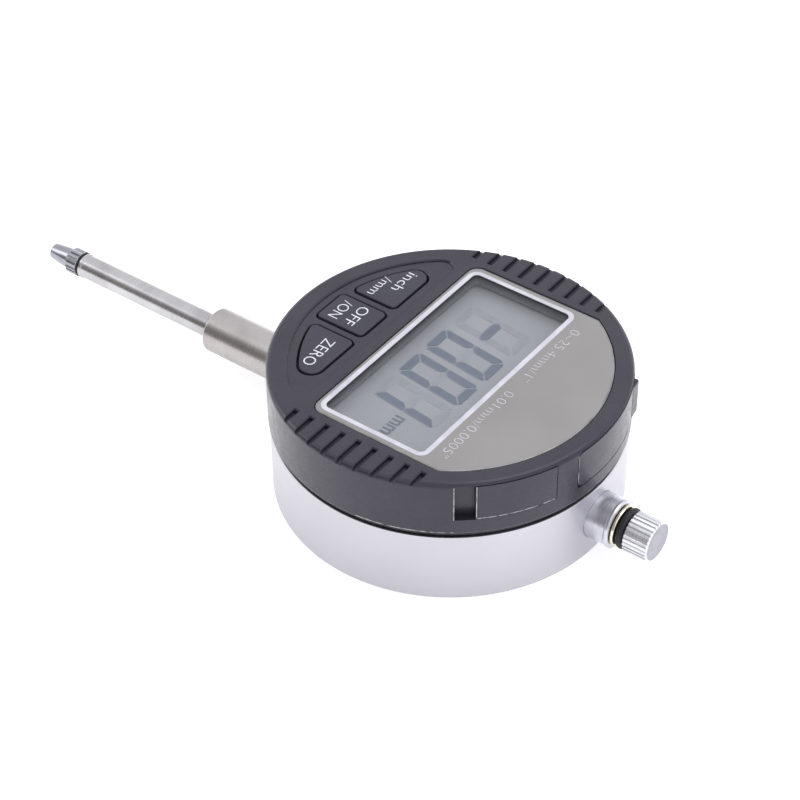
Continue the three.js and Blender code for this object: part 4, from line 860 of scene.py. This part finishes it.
DIGIT_LOW = -6.8
DIGIT_HIGH = 6.2
DIGIT_SLANT = math.tan(math.radians(6.5))
SEGMENT_WIDTH = 1.5
SEGMENT_GAP = 0.2
SEGMENT_CORNER = 0.3
FIRST_DIGIT = (-8.3, -2.4)
SECOND_DIGIT = (-0.9, 4.9)
THIRD_DIGIT = (5.7, 11.5)
UNLIT_DIGIT = (-15.9, -10.0)
MINUS = (-14.3, -9.2, 0.8)  # left and right point, half height


def digit_bars(x0, x1, names):
    """Bars of a seven-segment digit between its outer edges, mitred where they meet."""
    w, g, c = SEGMENT_WIDTH, SEGMENT_GAP, SEGMENT_CORNER
    low, high = DIGIT_LOW, DIGIT_HIGH
    middle = (low + high) / 2
    top = [
        (x0 + g + 2 * c, high), (x1 - g - 2 * c, high), (x1 - g - c, high - c), (x1 - w - g, high - w),
        (x0 + w + g, high - w), (x0 + g + c, high - c),
    ]
    upper_left = [
        (x0, high - g - 2 * c), (x0 + c, high - g - c), (x0 + w, high - w - g), (x0 + w, middle + w / 2 + g),
        (x0 + w / 2, middle + g / 2), (x0 + w / 4, middle + g / 2), (x0, middle + g),
    ]
    centre = [
        (x0 + w / 2 + g, middle), (x0 + w + g, middle + w / 2), (x1 - w - g, middle + w / 2),
        (x1 - w / 2 - g, middle), (x1 - w - g, middle - w / 2), (x0 + w + g, middle - w / 2),
    ]

    def flip_x(points):
        return [(x0 + x1 - x, y) for x, y in points]

    def flip_y(points):
        return [(x, low + high - y) for x, y in points]

    bars = {
        "a": top, "b": flip_x(upper_left), "c": flip_x(flip_y(upper_left)), "d": flip_y(top),
        "e": flip_y(upper_left), "f": upper_left, "g": centre,
    }
    return [bars[name] for name in names]


def slanted(points):
    """Leans a digit to the right about the line through its foot."""
    return [(p[0] + (p[1] - DIGIT_LOW) * DIGIT_SLANT, p[1]) for p in points]


def bars_object(outlines, z0, z1, shift=(0, 0)):
    """Thin separate plates as one object."""
    vertices, faces = [], []
    for outline in outlines:
        start, count = len(vertices), len(outline)
        for z in (z0, z1):
            vertices += [(x + shift[0], y + shift[1], z) for x, y in outline]
        faces.append([start + i for i in range(count)][::-1])
        faces.append([start + count + i for i in range(count)])
        for i in range(count):
            j = (i + 1) % count
            faces.append([start + i, start + j, start + count + j, start + count + i])
    return solid(vertices, faces)


def build_display():
    low, high = LCD_LOW.z, LCD_HIGH.z
    glass = stack(rounded_rectangle(LCD_HIGH.x, LCD_HIGH.y, 0.2), [
        (-0.08, low), (0, low + 0.08), (0, high - 0.14), (-0.06, high - 0.08),
    ])
    piece(glass, "lcd_panel", "display_unit", LCD_SURFACE, ["lcd_glass"])
    lit = (
        digit_bars(*FIRST_DIGIT, "abcdef") + digit_bars(*SECOND_DIGIT, "abcdef")
        + digit_bars(*THIRD_DIGIT, "bc")
    )
    unlit = (
        digit_bars(*UNLIT_DIGIT, "abcdef") + digit_bars(*THIRD_DIGIT, "adefg")
        + digit_bars(*FIRST_DIGIT, "g") + digit_bars(*SECOND_DIGIT, "g")
    )
    left, right, half = MINUS
    y = (DIGIT_LOW + DIGIT_HIGH) / 2
    minus = [
        (left, y), (left + 0.7, y + half), (right - 0.7, y + half), (right, y), (right - 0.7, y - half),
        (left + 0.7, y - half),
    ]
    on = [slanted(bar) for bar in lit] + [minus]
    ghost = [slanted(bar) for bar in unlit]
    face = high - 0.08
    piece(bars_object(ghost, face - 0.01, face + 0.02), "lcd_ghosts", "display_unit", SEGMENT_OFF)
    # Painted shadow: the lit segments again, shifted 0.14 right and 0.3 down, lying just under them.
    piece(bars_object(on, face - 0.01, face + 0.035, (0.14, -0.3)), "lcd_painted_shadows", "display_unit",
          SEGMENT_PAINTED_SHADOW)
    piece(bars_object(on, face - 0.01, face + 0.05), "lcd_digits", "display_unit", SEGMENT_ON)


# ------------------------------------------------------------------ lettering

def lettering(name, text, x0, x1, y, height, z, body, material, lean=0.0, thin=0.012):
    """Printed text, fitted between x0 and x1 about the line y, with capitals of that height."""
    curve = bpy.data.curves.new(name, "FONT")
    curve.body = text
    curve.size = 1
    curve.extrude = 0.004
    curve.resolution_u = 4
    curve.offset = -thin
    holder = bpy.data.objects.new(name, curve)
    bpy.context.scene.collection.objects.link(holder)
    bpy.context.view_layer.update()
    graph = bpy.context.evaluated_depsgraph_get()
    mesh = bpy.data.meshes.new_from_object(holder.evaluated_get(graph))
    bpy.data.objects.remove(holder)
    xs = [v.co.x for v in mesh.vertices]
    capital = 0.7
    middle = Matrix.Translation((-(min(xs) + max(xs)) / 2, -capital / 2, 0))
    size = Matrix.Diagonal(((x1 - x0) / (max(xs) - min(xs)), height / capital, 1, 1))
    turn = Matrix.Rotation(math.radians(lean), 4, "Z")
    mesh.transform(Matrix.Translation(((x0 + x1) / 2, y, z)) @ turn @ size @ middle)
    item = bpy.data.objects.new(name, mesh)
    bpy.context.scene.collection.objects.link(item)
    return piece(item, name, body, material)


# name, text, left, right, middle line, height of capitals, body, lean in degrees
KEY_LABELS = [
    ("unit_print_top", "inch", -14.5, -9.3, -17.8, 1.9, "unit_key", 0),
    ("unit_print_low", "/mm", -11.2, -6.1, -20.4, 1.85, "unit_key", 0),
    ("power_print_top", "OFF", -2.7, 2.4, -18.8, 2.0, "power_key", 0),
    ("power_print_low", "/ON", -2.3, 2.4, -21.9, 2.0, "power_key", 0),
    ("zero_print", "ZERO", 7.2, 14.3, -18.2, 2.1, "zero_key", 4),
]


def build_lettering():
    face = LENS_HIGH.z - 0.018
    lettering("range_print", "0~25.4mm/1\"", -17.9, -2.6, 12.4, 1.7, face, "display_unit",
              WHITE_PRINT, thin=0.025)
    lettering("step_print", "0.01mm/0.0005\"", 0.9, 19.3, 12.4, 1.7, face, "display_unit",
              WHITE_PRINT, thin=0.025)
    for name, text, x0, x1, y, height, key, lean in KEY_LABELS:
        lettering(name, text, x0, x1, y, height, BUTTON_HIGH.z + 0.002, key, BUTTON_PRINT,
                  lean)
    low = LCD_HIGH.z - 0.035
    lettering("lcd_unit", "mm", 13.6, 18.2, 0.8, 2.7, low, "display_unit", SEGMENT_ON, thin=-0.012)


# ------------------------------------------------------------------ buttons and covers

def build_buttons():
    high = BUTTON_HIGH.z
    bevel = BUTTON_BEVEL
    flange = ROOF_BOTTOM - 0.2
    centres = {"unit": (-10.6, -18.9), "power": (0, POWER_Y), "zero": (10.6, -18.9)}
    for name, outline in BUTTONS.items():
        cap = stack(outline, [
            (0.7, flange - 0.6), (0.7, flange - 0.05), (0.65, flange), (0, flange + 0.01), (0, high - bevel),
            (-bevel * 0.12, high - bevel * 0.55), (-bevel * 0.42, high - bevel * 0.18), (-bevel, high),
        ])
        x, y = centres[name]
        plunger = at(rod(1.5, BUTTON_LOW.z, flange - 0.3), x, y)
        piece(join(cap, plunger), f"{name}_cap", f"{name}_key", BUTTON_PLASTIC,
              [f"{name}_button"])


def build_battery_drawer():
    low, high = DRAWER_LOW.z, DRAWER_HIGH.z
    inner = RADIUS - COVER_THICKNESS
    centre_x, centre_y = (CELL_LOW.x + CELL_HIGH.x) / 2, (CELL_LOW.y + CELL_HIGH.y) / 2
    centre = math.hypot(centre_x, centre_y)
    cover = keep_inside(
        tube(inner, RADIUS, low - 1, high + 1),
        radial_prism(DRAWER_ANGLE, COVER_HALF_WIDTH, low, high, COVER_CORNER, 10, RADIUS + 3),
    )
    rib_y = COVER_HALF_WIDTH - 2.2
    rib_x = math.sqrt(RADIUS ** 2 - rib_y ** 2)
    rib_top = high - 0.6
    rib = loft([
        [(x, rib_y + side * half, z) for side, z in ((-1, low), (1, low), (1, rib_top), (-1, rib_top))]
        for x, half in ((rib_x - 1, 1.3), (rib_x + 0.1, 1.3), (rib_x + 0.35, 1.05))
    ])
    tray_top = CELL_HIGH.z
    tray = join(
        at(rod(DRAWER_HALF_WIDTH, low, tray_top, SHAFT_STEPS), centre, 0),
        keep_inside(
            box(centre, inner + 0.3, -DRAWER_HALF_WIDTH, DRAWER_HALF_WIDTH, low, tray_top),
            rod(inner + 0.3, low - 1, tray_top + 1, LATHE_STEPS),
        ),
    )
    cut(
        tray,
        at(rod(10.1, low + 0.3, tray_top + 1, SHAFT_STEPS), centre, 0),
        at(rod(9, low - 1, tray_top, SHAFT_STEPS), centre, 0),
        box(0, centre, -2.8, 2.8, low + 0.3, tray_top + 1),
    )
    whole = join(cover, turned_about_z(rib, DRAWER_ANGLE), turned_about_z(tray, DRAWER_ANGLE))
    piece(soften(whole, 0.09), "battery_cover", "battery_tray", HOUSING_PLASTIC,
          ["battery_drawer"])
    low, high = CELL_LOW.z, CELL_HIGH.z
    cell = lathe([
        (0, low), (8.6, low), (8.85, low + 0.2), (9.3, low + 0.28), (9.3, low + 0.5), (9.75, low + 0.5),
        (10, low + 0.75), (10, high - 0.3), (9.9, high - 0.1), (9.7, high), (0, high),
    ])
    piece(at(cell, centre_x, centre_y), "button_cell", "battery_tray", CELL_METAL, ["coin_cell"])


def build_edge_highlights():
    """Painted highlights on the edges that face the light: they stand two hundredths proud of the plastic
    that they run along.
    """
    thick = 0.13
    inner, outer = RADIUS - 0.1, RADIUS + 0.02
    start, end = PORT_ANGLE - PORT_HALF_ANGLE, PORT_ANGLE + PORT_HALF_ANGLE
    low, high = PORT_LOW.z, PORT_HIGH.z
    width = math.degrees(thick / RADIUS)
    flap = join(
        sector(inner, outer, start, start + width, low, high),
        sector(inner, outer, start, end - 0.6, low, low + thick),
    )
    piece(flap, "port_flap_edge", "port_door", EDGE_HIGHLIGHT)
    pocket = start - POCKET_ANGLE
    shell = sector(inner, outer, pocket - width, pocket, low - 0.1, high)
    lip_low = HOUSING_LOW.z + 0.25
    lip = sector(inner, outer, 6, pocket - 0.2, lip_low, lip_low + thick)
    piece(join(shell, lip), "housing_edge", "display_unit", EDGE_HIGHLIGHT)
    side = math.degrees(math.asin(COVER_HALF_WIDTH / RADIUS))
    start = DRAWER_ANGLE - side
    cover = sector(inner, outer, start, start + width, DRAWER_LOW.z + COVER_CORNER, DRAWER_HIGH.z - 0.5)
    piece(cover, "battery_cover_edge", "battery_tray", EDGE_HIGHLIGHT)


def build_port_cover():
    low, high = PORT_LOW.z, PORT_HIGH.z
    inner = RADIUS - PORT_THICKNESS
    cover = sector(inner, RADIUS, PORT_ANGLE - PORT_HALF_ANGLE, PORT_ANGLE + PORT_HALF_ANGLE, low, high)
    plug_top = ROOF_BOTTOM - 0.3
    plug = radial_prism(PORT_ANGLE, PLUG_HALF_WIDTH, low + 0.6, plug_top, 0.2, inner - 3, inner + 0.6)
    piece(soften(join(cover, plug), 0.09), "port_flap", "port_door", HOUSING_PLASTIC,
          ["port_cover"])


# ------------------------------------------------------------------ CAD pieces that stay

CAD_FINISHES = [
    (BOARD, ["reader_board", "main_board", "scale_strip"]),
    (CHIP, ["reader_chip", "controller_chip"]),
    (SCREW_METAL, [
        "rail_screw_1", "rail_screw_2", "reader_screw_1", "reader_screw_2", "stop_pin", "return_spring",
        "guide_rail", "guide_pin", "carrier_screw", "base_screw_1", "base_screw_2", "base_screw_3",
        "hub_clip",
    ]),
    (RING_METAL, ["upper_bush", "battery_contact_minus", "battery_contact_plus"]),
    (KNOB_METAL, ["scale_carrier"]),
    (RUBBER, ["zebra_strip", "button_mat"]),
    (BLACK_PLASTIC, ["display_base", "data_connector"]),
    (WHITE_PLASTIC, ["lcd_frame"]),
    (FILM, ["sensor_cable"]),
]


def finish_cad_pieces():
    for material, nodes in CAD_FINISHES:
        for node in nodes:
            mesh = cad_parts[node].data
            mesh.materials.clear()
            mesh.materials.append(material)


# ------------------------------------------------------------------ stage

CAMERA_AZIMUTH = 126.895
CAMERA_ELEVATION = 41.021
CAMERA_ROLL = -0.592
CAMERA_DISTANCE = 403.6
CAMERA_SLIDE = (-8.177, 11.970)
CAMERA_LENS = 109.3


def build_camera():
    azimuth = math.radians(CAMERA_AZIMUTH)
    elevation = math.radians(CAMERA_ELEVATION)
    roll = math.radians(CAMERA_ROLL)
    reach = math.cos(elevation)
    back = Vector((math.sin(azimuth) * reach, -math.cos(azimuth) * reach, math.sin(elevation)))
    level = Vector((math.cos(azimuth), math.sin(azimuth), 0))
    upright = back.cross(level)
    right = level * math.cos(roll) + upright * math.sin(roll)
    up = upright * math.cos(roll) - level * math.sin(roll)
    place = back * CAMERA_DISTANCE + right * CAMERA_SLIDE[0] + up * CAMERA_SLIDE[1]
    camera = bpy.data.cameras.new("camera")
    camera.lens = CAMERA_LENS
    camera.sensor_width = 36
    camera.clip_start = 0.01
    camera.clip_end = 50
    holder = bpy.data.objects.new("camera", camera)
    bpy.context.scene.collection.objects.link(holder)
    turn = Matrix((right, up, back)).transposed().to_4x4()
    holder.matrix_world = Matrix.Translation(place * MM) @ turn
    bpy.context.scene.camera = holder


def area_light(name, place, size, power):
    """A rectangular light that looks at the middle of the back face."""
    light = bpy.data.lights.new(name, "AREA")
    light.shape = "RECTANGLE"
    light.size, light.size_y = size
    light.energy = power
    holder = bpy.data.objects.new(name, light)
    bpy.context.scene.collection.objects.link(holder)
    holder.location = place
    holder.rotation_mode = "QUATERNION"
    holder.rotation_quaternion = Vector(place).to_track_quat("Z", "Y")


SKY_LIGHT = 1.15
DARK_SIDE = Vector((0.87, -0.47, 0.15))
FLOOR_GLOW = 0.42


def build_studio():
    """White surroundings, with a dark flag low on one side that gives the round metal its dark band."""
    world = bpy.data.worlds.new("studio")
    bpy.context.scene.world = world
    world.use_nodes = True
    nodes, links = world.node_tree.nodes, world.node_tree.links
    direction = nodes.new("ShaderNodeTexCoord").outputs["Generated"]
    toward = nodes.new("ShaderNodeVectorMath")
    toward.operation = "DOT_PRODUCT"
    toward.inputs[1].default_value = DARK_SIDE.normalized()
    links.new(direction, toward.inputs[0])
    fade = nodes.new("ShaderNodeMapRange")
    fade.interpolation_type = "SMOOTHSTEP"
    fade.inputs["From Min"].default_value = 0.66
    fade.inputs["From Max"].default_value = 0.96
    links.new(toward.outputs["Value"], fade.inputs["Value"])
    mix = nodes.new("ShaderNodeMix")
    mix.data_type = "RGBA"
    mix.inputs["A"].default_value = (0.97, 0.975, 1.0, 1)
    mix.inputs["B"].default_value = (0.26, 0.245, 0.24, 1)
    links.new(fade.outputs["Result"], mix.inputs["Factor"])
    background = nodes["Background"]
    links.new(mix.outputs["Result"], background.inputs["Color"])
    background.inputs["Strength"].default_value = SKY_LIGHT


def build_stage():
    floor_material = Finish("floor")
    floor_material.color((0.90, 0.90, 0.905), (0.92, 0.92, 0.925), floor_material.noise(60))
    floor_material.roughness(0.75, 0.85, floor_material.noise(20))
    floor_material.shader.inputs["Emission Color"].default_value = (1, 1, 1, 1)
    floor_material.shader.inputs["Emission Strength"].default_value = FLOOR_GLOW
    reach = 3000
    floor = stack(rounded_rectangle(reach, reach, 10), [(0, -6), (0, -0.01)])
    floor.data.transform(Matrix.Scale(MM, 4))
    floor.name = "floor"
    floor.data.materials.append(floor_material.material)
    build_studio()
    area_light("overhead", (-0.25, 0.05, 0.8), (0.6, 0.6), 2.2)
    area_light("left_front", (0.25, -0.75, 0.45), (0.3, 0.5), 1)
    bpy.context.scene.view_settings.view_transform = "Standard"


build_case()
build_stem_and_boss()
build_spindle()
build_housing()
build_lens()
build_display()
build_buttons()
build_battery_drawer()
build_port_cover()
build_edge_highlights()
build_lettering()
finish_cad_pieces()
build_camera()
build_stage()
